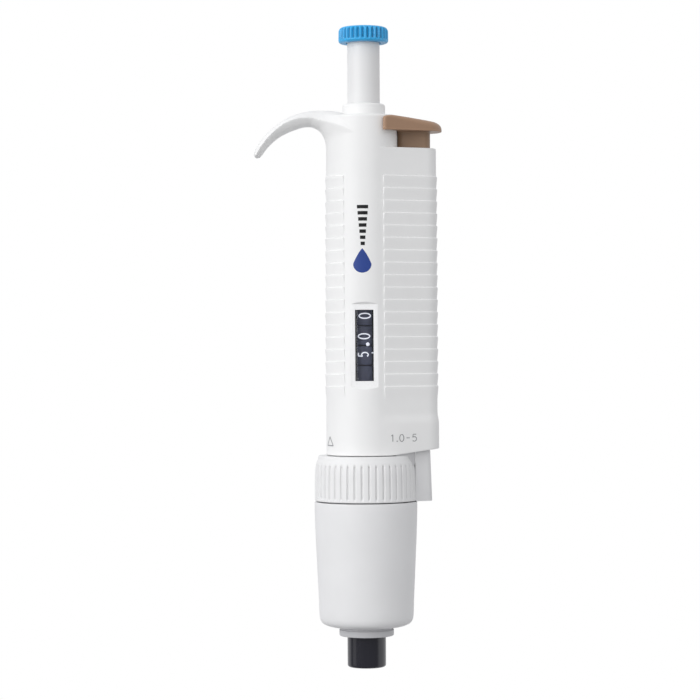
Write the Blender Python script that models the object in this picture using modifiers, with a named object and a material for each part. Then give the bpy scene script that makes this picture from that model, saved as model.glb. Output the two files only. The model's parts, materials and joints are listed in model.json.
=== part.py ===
"""Adjustable single-channel micropipette, 5 ml class, built as an assembly of separate pieces.

Frame: the origin is on the plunger axis at the end plane of the nozzle. +Z runs up the axis to
the knob, the volume window faces -Y, the finger hook reaches towards -X, and the tip ejector is
on the +X side. Everything is in metres. The pipette stands at rest: nothing is pressed.
"""
import math

import bpy
import bmesh
from mathutils import Vector

MM = 0.001
TAU = 2.0 * math.pi
GAP = 0.3 * MM                      # clearance kept between pieces that touch
ROUND = 28                          # sides of a large turned piece
SMALL = 18                          # sides of a small turned piece

# ---- case ---------------------------------------------------------------------------------
CASE_FRONT_R_TOP = 13.8 * MM        # front circle of the teardrop section, at the shoulder
CASE_FRONT_R_LOW = 14.3 * MM        # the same circle at the case's lower end
CASE_REAR_X = 20.8 * MM             # centre of the small rear circle
CASE_REAR_R_TOP = 5.1 * MM
CASE_REAR_R_LOW = 6.0 * MM
CASE_LOW_Z = 77.3 * MM
CASE_HEEL_RISE = 2.6 * MM           # how far the lower edge climbs at the rear
CASE_HEEL_X = 10.0 * MM             # where that climb starts
CASE_SHOULDER_Z = 189.5 * MM        # top of the ejector housing
SHOULDER_ROUND = 0.8 * MM
CASE_TOP_Z = 201.1 * MM
CASE_WALL = 2.0 * MM
COLUMN_FLAT_X = 12.0 * MM           # flat that the ejector stem slides along
COLUMN_BORE_R = 10.2 * MM
COLUMN_BORE_LOW_Z = 175.0 * MM
CASE_ROOF_Z = 198.7 * MM            # underside of the roof round the plunger
GUIDE_HOLE_R = 7.3 * MM

RIB_COUNT = 18
RIB_TOP_Z = 178.3 * MM
RIB_PITCH = 4.5 * MM
RIB_PROUD = 0.35 * MM
RIB_LIP = 0.15 * MM                 # height of the ledge's sloped top face
RIB_FREE_LEFT_X = -7.3 * MM         # smooth strip in front, between the two rib fields
RIB_FREE_RIGHT_X = 6.9 * MM
RIB_END_Z = 97.6 * MM

# ---- window and counter ---------------------------------------------------------------------
WINDOW_MID_Z = 117.0 * MM
WINDOW_HALF_H = 12.9 * MM
WINDOW_HALF_W = 3.35 * MM
POCKET_HALF_H = 15.5 * MM
POCKET_HALF_W = 4.6 * MM
POCKET_Y = -13.0 * MM               # flat floor of the pocket round the window
LENS_FACE_Y = -12.3 * MM
LENS_FLANGE_Y = -10.6 * MM
LENS_BACK_Y = -10.05 * MM
LENS_FLANGE_EXTRA = 1.0 * MM

DRUM_R = 9.7 * MM
DRUM_BORE_R = 5.2 * MM
DRUM_HEIGHT = 6.6 * MM
DRUM_PITCH = 7.15 * MM
DRUM_TOP_Z = 127.7 * MM             # middle of the highest drum
DRUM_NAMES = ("drum_hundredths", "drum_tenths", "drum_units", "drum_spacer")
SLEEVE_R = 4.6 * MM                 # drive sleeve that carries the drums
SLEEVE_LOW_Z = 98.0 * MM
SLEEVE_TOP_Z = 136.0 * MM
FRAME_PLATE_T = 1.4 * MM
FRAME_PLATE_R = 11.2 * MM
FRAME_BORE_R = 5.2 * MM
FRAME_POST_X = (12.9 * MM, 14.6 * MM)
FRAME_POST_HALF_W = 3.0 * MM
PINION_X = 11.4 * MM
PINION_R = 1.25 * MM
PINION_BORE_R = 0.8 * MM
PINION_SHAFT_R = 0.5 * MM
PINION_HEIGHT = 3.0 * MM

# ---- plunger --------------------------------------------------------------------------------
KNOB_R = 9.1 * MM
KNOB_TOP_Z = 232.9 * MM
KNOB_LOW_Z = 226.8 * MM
KNOB_FLUTES = 30
TUBE_R = 5.9 * MM
TUBE_BORE_R = 2.85 * MM
TUBE_TOP_Z = 230.0 * MM
TUBE_LOW_Z = 180.2 * MM
KEYWAY_HALF_W = 0.9 * MM
KEYWAY_FLOOR_R = 4.9 * MM
SHAFT_HEX_R = 2.45 * MM             # across the corners, from the axis
SHAFT_TOP_Z = 229.0 * MM
SHAFT_LOW_Z = 87.7 * MM
STOP_COLLAR_R = 7.4 * MM
STOP_COLLAR_Z = (176.0 * MM, 179.6 * MM)
SCREW_R = 8.2 * MM
SCREW_Z = (180.0 * MM, 196.5 * MM)
BUSH_R = 9.9 * MM
BUSH_Z = (182.0 * MM, 198.4 * MM)
GUIDE_R = 7.8 * MM
GUIDE_TOP_Z = 204.9 * MM
GUIDE_LOW_Z = 197.3 * MM
RUNNING_GAP = 0.3 * MM

# ---- piston and springs ----------------------------------------------------------------------
CUP_Z = (84.0 * MM, 87.4 * MM)
CUP_R = 8.9 * MM
CUP_NOSE_R = 4.5 * MM               # the part of the cup that the shaft presses on
CUP_PLATE_T = 1.6 * MM
ROD_R = 3.0 * MM
ROD_LOW_Z = 48.0 * MM
ROD_TOP_Z = 83.7 * MM
PISTON_R = 9.9 * MM
PISTON_Z = (45.0 * MM, 53.0 * MM)
PISTON_RING_Z = 49.5 * MM
PISTON_GROOVE_DEPTH = 1.3 * MM
PISTON_RING_R = 0.5 * MM            # thickness of the piston's O-ring, as a radius
CYLINDER_R = 10.25 * MM
ROD_GUIDE_Z = (54.3 * MM, 58.0 * MM)
ROD_GUIDE_R = 11.6 * MM
WASHER_Z = (66.5 * MM, 67.7 * MM)
WASHER_R = 9.8 * MM
WASHER_BORE_R = 6.4 * MM
RETURN_COIL_R = 5.2 * MM
RETURN_WIRE_R = 0.5 * MM
BLOWOUT_COIL_R = 8.0 * MM
BLOWOUT_WIRE_R = 0.6 * MM

# ---- lower end --------------------------------------------------------------------------------
SOCKET_R = 15.4 * MM
SOCKET_LOW_Z = 66.0 * MM
SOCKET_STEP_Z = 76.9 * MM
SOCKET_TOP_Z = 86.0 * MM
SOCKET_SPIGOT_R = 11.8 * MM
SOCKET_LIP_Z = (68.0 * MM, 69.5 * MM)
SOCKET_LIP_R = 9.3 * MM             # inner lip that stops the blow-out washer
NUT_R = 18.4 * MM
NUT_Z = (60.6 * MM, 76.7 * MM)
NUT_BORE_R = 15.75 * MM
NUT_LIP_R = 13.9 * MM
NUT_LIP_TOP_Z = 62.6 * MM
NUT_FLUTES = 44
BARREL_R = 13.4 * MM
BARREL_FLANGE_Z = (62.9 * MM, 65.7 * MM)
BARREL_SHOULDER_Z = 22.3 * MM
BARREL_NECK_R = 8.6 * MM
BARREL_NECK_Z = 18.2 * MM
BARREL_SEAT_R = 11.9 * MM           # recess that holds the rod's bush and the two springs
CYLINDER_FLOOR_Z = 24.6 * MM
SLEEVE_TOP = 60.2 * MM              # ejector sleeve
SLEEVE_LOW = 14.7 * MM
SLEEVE_R_TOP = 18.7 * MM
SLEEVE_R_LOW = 17.3 * MM
SLEEVE_CORNER_R = 5.0 * MM
SLEEVE_SKIN = 1.6 * MM
COLLAR_R = 9.9 * MM
COLLAR_Z = 11.2 * MM
COLLAR_TOP_Z = 14.1 * MM
COLLAR_GROOVE_R = 9.2 * MM
COLLAR_BORE_R = 7.5 * MM
SLEEVE_FLOOR_Z = 16.5 * MM
NOZZLE_R = 7.0 * MM
NOZZLE_SHOULDER_Z = 16.9 * MM
NOZZLE_SPIGOT_R = 5.4 * MM
NOZZLE_TOP_Z = 23.6 * MM
NOZZLE_BORE_R = 3.5 * MM
NOZZLE_SEAL_R = (6.25 * MM, 0.35 * MM)
FILTER_R = 5.0 * MM
FILTER_T = 4.0 * MM

# ---- ejector ------------------------------------------------------------------------------------
STEM_X = (12.3 * MM, 24.1 * MM)
STEM_HALF_W = 3.6 * MM
STEM_LOW_Z = 184.0 * MM
CAP_LEFT_X = 7.1 * MM
CAP_REAR_R = 8.0 * MM
CAP_REAR_X = 20.4 * MM
CAP_CORNER_R = 1.2 * MM
CAP_HOLLOW_GAP = 0.45 * MM
CAP_TOP_Z = 200.2 * MM
CAP_LOW_Z = 195.1 * MM
CAP_TOP_SLOPE = 0.105
CAP_LOW_SLOPE = 0.052
EJECTOR_X = 20.8 * MM
EJECTOR_ROD_R = 2.0 * MM
EJECTOR_ROD_Z = (90.3 * MM, 183.7 * MM)
EJECTOR_SEAT_Z = (144.0 * MM, 148.0 * MM)
EJECTOR_CLIP_Z = (176.0 * MM, 177.4 * MM)
EJECTOR_CLIP_R = 3.0 * MM
EJECTOR_GUIDE_R = 3.1 * MM
EJECTOR_COIL_R = 2.72 * MM
EJECTOR_WIRE_R = 0.25 * MM
ARM_Z = (60.4 * MM, 90.0 * MM)
ARM_KNEE_Z = 80.0 * MM              # above it the arm is straight, inside the case
ARM_INSET_LOW = 3.0 * MM            # how far the arm's back stands in from the case's
ARM_INSET_TOP = 3.8 * MM
ARM_HOLLOW_R = 18.8 * MM
LUG_HALF_W = 3.6 * MM               # lug on the ejector sleeve under the arm
LUG_X = (17.8 * MM, 23.4 * MM)
LUG_T = 1.2 * MM

# ---- finger hook: (upper x, z, lower x, z, half width), from inside the column to the tip, in mm ----
HOOK_STATIONS = (
    (-6.0, 200.6, -6.0, 188.0, 6.6),
    (-10.5, 202.0, -11.5, 188.6, 6.6),
    (-15.0, 202.6, -14.2, 192.0, 6.5),
    (-20.0, 202.3, -17.2, 195.3, 6.4),
    (-25.0, 201.2, -21.6, 196.4, 6.2),
    (-29.6, 199.3, -25.8, 195.3, 6.0),
    (-33.4, 196.6, -29.5, 193.7, 5.7),
    (-36.6, 193.7, -32.8, 191.2, 5.4),
    (-38.9, 190.9, -35.2, 188.6, 5.2),
    (-40.2, 187.9, -36.9, 186.8, 4.8),
    (-40.1, 186.0, -38.0, 185.6, 3.6),
)


# ---- scene helpers ------------------------------------------------------------------------------
def clear_scene():
    for item in list(bpy.data.objects):
        bpy.data.objects.remove(item, do_unlink=True)


def collection(name):
    found = bpy.data.collections.new(name)
    bpy.context.scene.collection.children.link(found)
    return found


def finish_material(name, colour, roughness, metallic=0.0, alpha=1.0):
    made = bpy.data.materials.new(name)
    made.use_nodes = True
    shader = made.node_tree.nodes["Principled BSDF"]
    shader.inputs["Base Color"].default_value = (*colour, 1.0)
    shader.inputs["Roughness"].default_value = roughness
    shader.inputs["Metallic"].default_value = metallic
    shader.inputs["Alpha"].default_value = alpha
    return made


def add_object(name, mesh, material_name, place=(0.0, 0.0, 0.0)):
    made = bpy.data.objects.new(name, mesh)
    made.location = place
    PARTS.objects.link(made)
    colour, roughness, metallic, alpha = FINISHES[material_name]
    mesh.materials.append(finish_material(name + "_finish", colour, roughness, metallic, alpha))
    return made


def make_tool(item):
    """Turn an object into a hidden Boolean operand."""
    for owner in list(item.users_collection):
        owner.objects.unlink(item)
    CUTTERS.objects.link(item)
    item.hide_render = True
    item.display_type = "WIRE"
    return item


def boolean(target, tool, operation):
    step = target.modifiers.new(tool.name, "BOOLEAN")
    step.object = make_tool(tool)
    step.operation = operation
    step.solver = "EXACT"


def smooth(mesh, angle=35.0):
    """Smooth shading that stops at edges sharper than the angle."""
    mesh.shade_smooth()
    mesh.set_sharp_from_angle(angle=math.radians(angle))


# ---- shape helpers ------------------------------------------------------------------------------
def turned(name, profile, material_name, steps=ROUND, centre=(0.0, 0.0)):
    """Turn a profile of (radius, z) points about a vertical axis. A ring's profile is a loop that
    starts down its outer side; a solid's profile starts and ends on the axis."""
    closed = profile[0][0] > 0.0
    count = len(profile)
    edges = [(k, (k + 1) % count) for k in range(count if closed else count - 1)]
    mesh = bpy.data.meshes.new(name)
    mesh.from_pydata([(radius, 0.0, z) for radius, z in profile], edges, [])
    made = add_object(name, mesh, material_name, (centre[0], centre[1], 0.0))
    spin = made.modifiers.new("turn", "SCREW")
    spin.angle = TAU
    spin.steps = steps
    spin.render_steps = steps
    spin.use_merge_vertices = True
    spin.merge_threshold = 0.00002
    spin.use_smooth_shade = True
    return made


def ring_profile(outer, inner, low, high, chamfer=0.0):
    """Section of a plain ring, with its outer edges chamfered."""
    points = [(outer, high - chamfer), (outer, low + chamfer)]
    if chamfer > 0.0:
        points.append((outer - chamfer, low))
    else:
        points[1] = (outer, low)
    points += [(inner, low), (inner, high)]
    if chamfer > 0.0:
        points.append((outer - chamfer, high))
    return points


def ring(name, outer, inner, low, high, material_name, chamfer=0.0, steps=ROUND, centre=(0.0, 0.0)):
    return turned(name, ring_profile(outer, inner, low, high, chamfer), material_name, steps, centre)


def disc(name, radius, low, high, material_name, chamfer=0.0, steps=ROUND, centre=(0.0, 0.0)):
    points = [(0.0, high), (radius - chamfer, high), (radius, high - chamfer),
              (radius, low + chamfer), (radius - chamfer, low), (0.0, low)]
    if chamfer <= 0.0:
        points = [(0.0, high), (radius, high), (radius, low), (0.0, low)]
    return turned(name, points, material_name, steps, centre)


def torus(name, mean_r, tube_r, z, material_name, steps=24, sides=6):
    points = [(mean_r + tube_r * math.cos(TAU * k / sides), z - tube_r * math.sin(TAU * k / sides))
              for k in range(sides)]
    return turned(name, points, material_name, steps)


def block(name, low, high, material_name, bevel=0.0):
    """Box between two corners, with its edges rounded."""
    shape = bmesh.new()
    bmesh.ops.create_cube(shape, size=1.0)
    size = Vector(high) - Vector(low)
    bmesh.ops.scale(shape, vec=size, verts=shape.verts)
    bmesh.ops.translate(shape, vec=(Vector(high) + Vector(low)) / 2.0, verts=shape.verts)
    mesh = bpy.data.meshes.new(name)
    shape.to_mesh(mesh)
    shape.free()
    made = add_object(name, mesh, material_name)
    if bevel > 0.0:
        edge = made.modifiers.new("edges", "BEVEL")
        edge.width = bevel
        edge.segments = 2
    return made


def prism(name, outline, low, high, material_name):
    """Flat outline of (x, y) points, extruded from low to high: a filled 2D curve made a mesh."""
    flat = bpy.data.curves.new(name, "CURVE")
    flat.dimensions = "2D"
    flat.fill_mode = "BOTH"
    flat.extrude = (high - low) / 2.0
    line = flat.splines.new("POLY")
    line.points.add(len(outline) - 1)
    for point, (x, y) in zip(line.points, outline):
        point.co = (x, y, 0.0, 1.0)
    line.use_cyclic_u = True
    source = bpy.data.objects.new(name + "_outline", flat)
    source.location = (0.0, 0.0, (high + low) / 2.0)
    PARTS.objects.link(source)
    mesh = mesh_from(source, name)
    smooth(mesh)
    return add_object(name, mesh, material_name, (0.0, 0.0, (high + low) / 2.0))


def mesh_from(source, name):
    """Evaluated mesh of a curve object, with its caps welded on. The curve is removed."""
    bpy.context.view_layer.update()
    graph = bpy.context.evaluated_depsgraph_get()
    mesh = bpy.data.meshes.new_from_object(source.evaluated_get(graph))
    mesh.name = name
    bpy.data.objects.remove(source, do_unlink=True)
    shape = bmesh.new()
    shape.from_mesh(mesh)
    bmesh.ops.remove_doubles(shape, verts=shape.verts, dist=0.00001)
    shape.to_mesh(mesh)
    shape.free()
    return mesh


def loft(name, rings, material_name):
    """Skin between rings of equal point counts, capped at both ends."""
    shape = bmesh.new()
    rows = [[shape.verts.new(point) for point in points] for points in rings]
    count = len(rows[0])
    for lower, upper in zip(rows, rows[1:]):
        for k in range(count):
            shape.faces.new((lower[k], lower[(k + 1) % count], upper[(k + 1) % count], upper[k]))
    shape.faces.new(list(reversed(rows[0])))
    shape.faces.new(rows[-1])
    bmesh.ops.recalc_face_normals(shape, faces=shape.faces)
    mesh = bpy.data.meshes.new(name)
    shape.to_mesh(mesh)
    shape.free()
    smooth(mesh)
    return add_object(name, mesh, material_name)


def coil(name, mean_r, wire_r, low, high, turns, material_name, centre=(0.0, 0.0)):
    """Open compression spring: one wire on a helix, with its ends filled."""
    per_turn = 8
    wire = bpy.data.curves.new(name, "CURVE")
    wire.dimensions = "3D"
    wire.bevel_depth = wire_r
    wire.bevel_resolution = 2
    wire.use_fill_caps = True
    line = wire.splines.new("POLY")
    total = per_turn * turns + 1
    line.points.add(total - 1)
    start, end = low + wire_r, high - wire_r
    for k, point in enumerate(line.points):
        angle = TAU * k / per_turn
        z = start + (end - start) * k / (total - 1)
        point.co = (mean_r * math.cos(angle), mean_r * math.sin(angle), z, 1.0)
    made = bpy.data.objects.new(name, wire)
    made.location = (centre[0], centre[1], 0.0)
    PARTS.objects.link(made)
    colour, roughness, metallic, alpha = FINISHES[material_name]
    wire.materials.append(finish_material(name + "_finish", colour, roughness, metallic, alpha))
    return made


def rounded_box_outline(x_low, x_high, half_w, corner, steps=5):
    """Rectangle in X and Y with round corners, anticlockwise."""
    points = []
    corners = ((x_high - corner, half_w - corner, 0.0), (x_low + corner, half_w - corner, 90.0),
               (x_low + corner, corner - half_w, 180.0), (x_high - corner, corner - half_w, 270.0))
    for x, y, start in corners:
        for k in range(steps):
            angle = math.radians(start + 90.0 * k / (steps - 1))
            points.append((x + corner * math.cos(angle), y + corner * math.sin(angle)))
    return points


def teardrop(front_r, rear_r, rear_x, front_steps=18, rear_steps=6):
    """Hull of a front circle on the axis and a small rear circle: (x, y, normal x, normal y)."""
    flat = math.acos((front_r - rear_r) / rear_x)
    points = []
    for k in range(rear_steps + 1):
        angle = -flat + 2.0 * flat * k / rear_steps
        nx, ny = math.cos(angle), math.sin(angle)
        points.append((rear_x + rear_r * nx, rear_r * ny, nx, ny))
    for k in range(front_steps + 1):
        angle = flat + (TAU - 2.0 * flat) * k / front_steps
        nx, ny = math.cos(angle), math.sin(angle)
        points.append((front_r * nx, front_r * ny, nx, ny))
        if k == 0 or k == front_steps:
            # one point on each flat, where the ribs stop
            share = (RIB_FREE_RIGHT_X - front_r * nx) / (rear_x + (rear_r - front_r) * nx)
            mid = (front_r * nx + share * (rear_x + (rear_r - front_r) * nx),
                   front_r * ny + share * (rear_r - front_r) * ny, nx, ny)
            points.insert(len(points) - 1 if k == 0 else len(points), mid)
    return points


# ---- case ------------------------------------------------------------------------------------------
def case_radii(z):
    share = (CASE_SHOULDER_Z - z) / (CASE_SHOULDER_Z - CASE_LOW_Z)
    front = CASE_FRONT_R_TOP + (CASE_FRONT_R_LOW - CASE_FRONT_R_TOP) * share
    rear = CASE_REAR_R_TOP + (CASE_REAR_R_LOW - CASE_REAR_R_TOP) * share
    return front, rear


def case_ring(z, proud=0.0, inset=0.0):
    """One section of the case at height z. Ribs stand proud outside the smooth front and back
    strips."""
    front, rear = case_radii(z)
    points = []
    for x, y, nx, ny in teardrop(front - inset, rear - inset, CASE_REAR_X):
        ribbed = not (RIB_FREE_LEFT_X - 0.2 * MM < x < RIB_FREE_RIGHT_X + 0.2 * MM)
        lift = proud if ribbed else 0.0
        points.append((x + lift * nx, y + lift * ny, z))
    return points


def shoulder_ring():
    """Top of the ejector housing: the rear is rounded in, the front runs on into the column."""
    front, rear = case_radii(CASE_SHOULDER_Z)
    plain = teardrop(front, rear, CASE_REAR_X)
    tight = teardrop(front - SHOULDER_ROUND, rear - SHOULDER_ROUND, CASE_REAR_X)
    points = []
    for wide, narrow in zip(plain, tight):
        on_column = math.hypot(wide[0], wide[1]) < front + 0.01 * MM
        x, y = (wide if on_column else narrow)[:2]
        points.append((x, y, CASE_SHOULDER_Z))
    return points


def column_ring(z, inset=0.0):
    """Section of the column above the shoulder: the front circle with a flat at the rear. It has
    one point for each point of the teardrop, so that the two can be lofted together."""
    front = CASE_FRONT_R_TOP
    flat_x, flat_y = COLUMN_FLAT_X - inset, math.sqrt(front ** 2 - COLUMN_FLAT_X ** 2) - inset
    rear_count = len([1 for p in teardrop(front, CASE_REAR_R_TOP, CASE_REAR_X) if p[0] > 15 * MM])
    points = []
    for k, (x, y, nx, ny) in enumerate(teardrop(front, CASE_REAR_R_TOP, CASE_REAR_X)):
        if k < rear_count:
            share = 2.0 * k / (rear_count - 1) - 1.0
            points.append((flat_x, flat_y * share, z))
            continue
        reach = math.hypot(x, y)
        points.append((x * (front - inset) / reach, y * (front - inset) / reach, z))
    return points


def make_case():
    rings = [case_ring(CASE_LOW_Z), case_ring(RIB_END_Z)]
    for k in reversed(range(RIB_COUNT)):
        z = RIB_TOP_Z - RIB_PITCH * k
        rings.append(case_ring(z, proud=RIB_PROUD))
        rings.append(case_ring(z + RIB_LIP))
    rings += [case_ring(CASE_SHOULDER_Z - SHOULDER_ROUND), shoulder_ring(),
              column_ring(CASE_SHOULDER_Z + 0.2 * MM), column_ring(CASE_TOP_Z - 0.5 * MM),
              column_ring(CASE_TOP_Z, 0.5 * MM)]
    case = loft("case", rings, "white_case")
    boolean(case, make_hook(), "UNION")

    inside = [case_ring(CASE_LOW_Z - 3 * MM, inset=CASE_WALL),
              case_ring(COLUMN_BORE_LOW_Z, inset=CASE_WALL)]
    boolean(case, loft("case_inside", inside, "white_case"), "DIFFERENCE")
    bore = disc("column_bore", COLUMN_BORE_R, COLUMN_BORE_LOW_Z - MM, CASE_ROOF_Z, "white_case")
    boolean(case, bore, "DIFFERENCE")
    hole = disc("guide_hole", GUIDE_HOLE_R, CASE_ROOF_Z - MM, CASE_TOP_Z + 3 * MM, "white_case")
    boolean(case, hole, "DIFFERENCE")
    slot = rounded_box_outline(STEM_X[0] - 1.5 * GAP, STEM_X[1] + GAP, STEM_HALF_W + GAP, 3.0 * MM)
    boolean(case, prism("stem_slot", slot, 172 * MM, CASE_TOP_Z + 4 * MM, "white_case"), "DIFFERENCE")

    pocket = block("window_pocket", (-POCKET_HALF_W, -16 * MM, WINDOW_MID_Z - POCKET_HALF_H),
                   (POCKET_HALF_W, POCKET_Y, WINDOW_MID_Z + POCKET_HALF_H), "white_case")
    boolean(case, pocket, "DIFFERENCE")
    opening = block("window_opening", (-WINDOW_HALF_W, -16 * MM, WINDOW_MID_Z - WINDOW_HALF_H),
                    (WINDOW_HALF_W, -9 * MM, WINDOW_MID_Z + WINDOW_HALF_H), "white_case")
    boolean(case, opening, "DIFFERENCE")

    heel = block("heel_cut", (0.0, -16 * MM, -9 * MM), (22 * MM, 16 * MM, 0.0), "white_case")
    heel.location = (CASE_HEEL_X, 0.0, CASE_LOW_Z)
    run = CASE_REAR_X + CASE_REAR_R_LOW - CASE_HEEL_X
    heel.rotation_euler = (0.0, -math.atan2(CASE_HEEL_RISE, run), 0.0)
    boolean(case, heel, "DIFFERENCE")
    return case


def make_hook():
    """Finger hook, lofted through its stations with a crowned top and a flatter underside."""
    rings = []
    for upper_x, upper_z, lower_x, lower_z, half_w in HOOK_STATIONS:
        upper = Vector((upper_x * MM, 0.0, upper_z * MM))
        lower = Vector((lower_x * MM, 0.0, lower_z * MM))
        side = Vector((0.0, half_w * MM, 0.0))
        middle = (upper + lower) / 2.0
        reach = (upper - lower) / 2.0
        points = []
        for k in range(14):
            angle = TAU * (k + 0.5) / 14
            across, along = math.cos(angle), math.sin(angle)
            across = math.copysign(abs(across) ** 0.7, across)
            along = math.copysign(abs(along) ** (1.0 if along > 0.0 else 0.5), along)
            points.append(middle + side * across + reach * along)
        rings.append(points)
    return loft("finger_hook", rings, "white_case")


def make_lens():
    """Clear window: a plug that fills the opening, with a flange inside the case."""
    plug_w, plug_h = WINDOW_HALF_W - GAP, WINDOW_HALF_H - GAP
    lens = block("window_lens", (-plug_w, LENS_FACE_Y, WINDOW_MID_Z - plug_h),
                 (plug_w, LENS_FLANGE_Y + 0.2 * MM, WINDOW_MID_Z + plug_h), "clear")
    flange_w, flange_h = plug_w + LENS_FLANGE_EXTRA, plug_h + LENS_FLANGE_EXTRA
    flange = block("lens_flange", (-flange_w, LENS_FLANGE_Y, WINDOW_MID_Z - flange_h),
                   (flange_w, LENS_BACK_Y, WINDOW_MID_Z + flange_h), "clear")
    boolean(lens, flange, "UNION")
    return lens


# ---- counter -----------------------------------------------------------------------------------------
def make_counter():
    lowest = DRUM_TOP_Z - DRUM_PITCH * (len(DRUM_NAMES) - 1)
    for k, name in enumerate(DRUM_NAMES):
        middle = DRUM_TOP_Z - DRUM_PITCH * k
        ring(name, DRUM_R, DRUM_BORE_R, middle - DRUM_HEIGHT / 2, middle + DRUM_HEIGHT / 2,
             "dark_drum")

    sleeve = disc("drive_sleeve", SLEEVE_R, SLEEVE_LOW_Z, SLEEVE_TOP_Z, "acetal", 0.0, SMALL)
    key_bore = prism("sleeve_bore", hexagon(SHAFT_HEX_R + 1.3 * GAP), SLEEVE_LOW_Z - MM,
                     SLEEVE_TOP_Z + MM, "acetal")
    boolean(sleeve, key_bore, "DIFFERENCE")

    plate_low = lowest - DRUM_HEIGHT / 2 - 0.6 * MM - FRAME_PLATE_T
    plate_high = DRUM_TOP_Z + DRUM_HEIGHT / 2 + 0.6 * MM
    frame = ring("counter_frame", FRAME_PLATE_R, FRAME_BORE_R, plate_low, plate_low + FRAME_PLATE_T,
                 "acetal")
    upper = ring("frame_upper_plate", FRAME_PLATE_R, FRAME_BORE_R, plate_high,
                 plate_high + FRAME_PLATE_T, "acetal")
    post = block("frame_post", (FRAME_POST_X[0], -FRAME_POST_HALF_W, plate_low),
                 (FRAME_POST_X[1], FRAME_POST_HALF_W, plate_high + FRAME_PLATE_T), "acetal")
    for k, z in enumerate((plate_low, plate_high)):
        bridge = block("frame_bridge_%d" % k, (9.5 * MM, -FRAME_POST_HALF_W, z),
                       (FRAME_POST_X[0] + 0.5 * MM, FRAME_POST_HALF_W, z + FRAME_PLATE_T), "acetal")
        boolean(frame, bridge, "UNION")
    boolean(frame, upper, "UNION")
    boolean(frame, post, "UNION")
    disc("pinion_shaft", PINION_SHAFT_R, plate_low + FRAME_PLATE_T + GAP, plate_high - GAP,
         "steel", 0.0, 10, (PINION_X, 0.0))
    for k, name in enumerate(("pinion_tenths", "pinion_units")):
        middle = DRUM_TOP_Z - DRUM_PITCH * (k + 0.5)
        ring(name, PINION_R, PINION_BORE_R, middle - PINION_HEIGHT / 2, middle + PINION_HEIGHT / 2,
             "acetal", 0.0, 12, (PINION_X, 0.0))


def hexagon(corner_r):
    return [(corner_r * math.cos(TAU * k / 6), corner_r * math.sin(TAU * k / 6)) for k in range(6)]


# ---- plunger, volume screw and guide ---------------------------------------------------------------
def cut_flutes(target, count, place_r, cutter_r, low, high, name):
    """Cut evenly spaced vertical grooves into a round piece, with one cutter of many rods."""
    rods = bmesh.new()
    for k in range(count):
        angle = TAU * (k + 0.5) / count
        rod = bmesh.ops.create_cone(rods, cap_ends=True, segments=6, radius1=cutter_r,
                                    radius2=cutter_r, depth=high - low)
        bmesh.ops.translate(rods, vec=(place_r * math.cos(angle), place_r * math.sin(angle),
                                       (high + low) / 2.0), verts=rod["verts"])
    mesh = bpy.data.meshes.new(name)
    rods.to_mesh(mesh)
    rods.free()
    boolean(target, add_object(name, mesh, "steel"), "DIFFERENCE")


def make_plunger():
    socket_r, socket_top = TUBE_R + GAP, TUBE_TOP_Z + GAP
    knob = turned("knob", [
        (0.0, KNOB_TOP_Z), (KNOB_R - 1.6 * MM, KNOB_TOP_Z), (KNOB_R - 0.5 * MM, KNOB_TOP_Z - 0.4 * MM),
        (KNOB_R, KNOB_TOP_Z - 1.3 * MM), (KNOB_R, KNOB_LOW_Z + 1.6 * MM),
        (KNOB_R - 0.5 * MM, KNOB_LOW_Z + 0.6 * MM), (KNOB_R - 1.5 * MM, KNOB_LOW_Z),
        (socket_r, KNOB_LOW_Z), (socket_r, socket_top), (0.0, socket_top)], "blue_knob", KNOB_FLUTES)
    cut_flutes(knob, KNOB_FLUTES, KNOB_R + 0.25 * MM, 0.6 * MM, KNOB_LOW_Z + 1.2 * MM,
               KNOB_TOP_Z - 1.0 * MM, "knob_flutes")

    tube = ring("plunger_tube", TUBE_R, TUBE_BORE_R, TUBE_LOW_Z, TUBE_TOP_Z, "white_tube")
    keyway = block("keyway", (-KEYWAY_HALF_W, KEYWAY_FLOOR_R, TUBE_LOW_Z - MM),
                   (KEYWAY_HALF_W, TUBE_R + MM, KNOB_LOW_Z - 1.2 * MM), "white_tube")
    boolean(tube, keyway, "DIFFERENCE")
    prism("plunger_shaft", hexagon(SHAFT_HEX_R), SHAFT_LOW_Z, SHAFT_TOP_Z, "steel")
    ring("stop_collar", STOP_COLLAR_R, TUBE_BORE_R, STOP_COLLAR_Z[0], STOP_COLLAR_Z[1], "brass",
         0.4 * MM, SMALL)

    screw = ring("volume_screw", SCREW_R, TUBE_R + RUNNING_GAP, SCREW_Z[0], SCREW_Z[1], "brass",
                 0.4 * MM)
    key = block("screw_key", (-KEYWAY_HALF_W + GAP, KEYWAY_FLOOR_R + GAP, SCREW_Z[0] + MM),
                (KEYWAY_HALF_W - GAP, TUBE_R + MM, SCREW_Z[1] - MM), "brass")
    boolean(screw, key, "UNION")
    ring("volume_bush", BUSH_R, SCREW_R + GAP, BUSH_Z[0], BUSH_Z[1], "acetal")

    turned("plunger_guide", [
        (GUIDE_R - 0.8 * MM, GUIDE_TOP_Z), (GUIDE_R - 0.35 * MM, GUIDE_TOP_Z - 0.4 * MM),
        (GUIDE_R - 0.15 * MM, GUIDE_TOP_Z - 1.3 * MM), (GUIDE_R, GUIDE_TOP_Z - 1.5 * MM),
        (GUIDE_R, CASE_TOP_Z + GAP), (GUIDE_HOLE_R - GAP, CASE_TOP_Z + GAP),
        (GUIDE_HOLE_R - GAP, GUIDE_LOW_Z), (TUBE_R + RUNNING_GAP, GUIDE_LOW_Z),
        (TUBE_R + RUNNING_GAP, GUIDE_TOP_Z)], "white_case")


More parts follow.
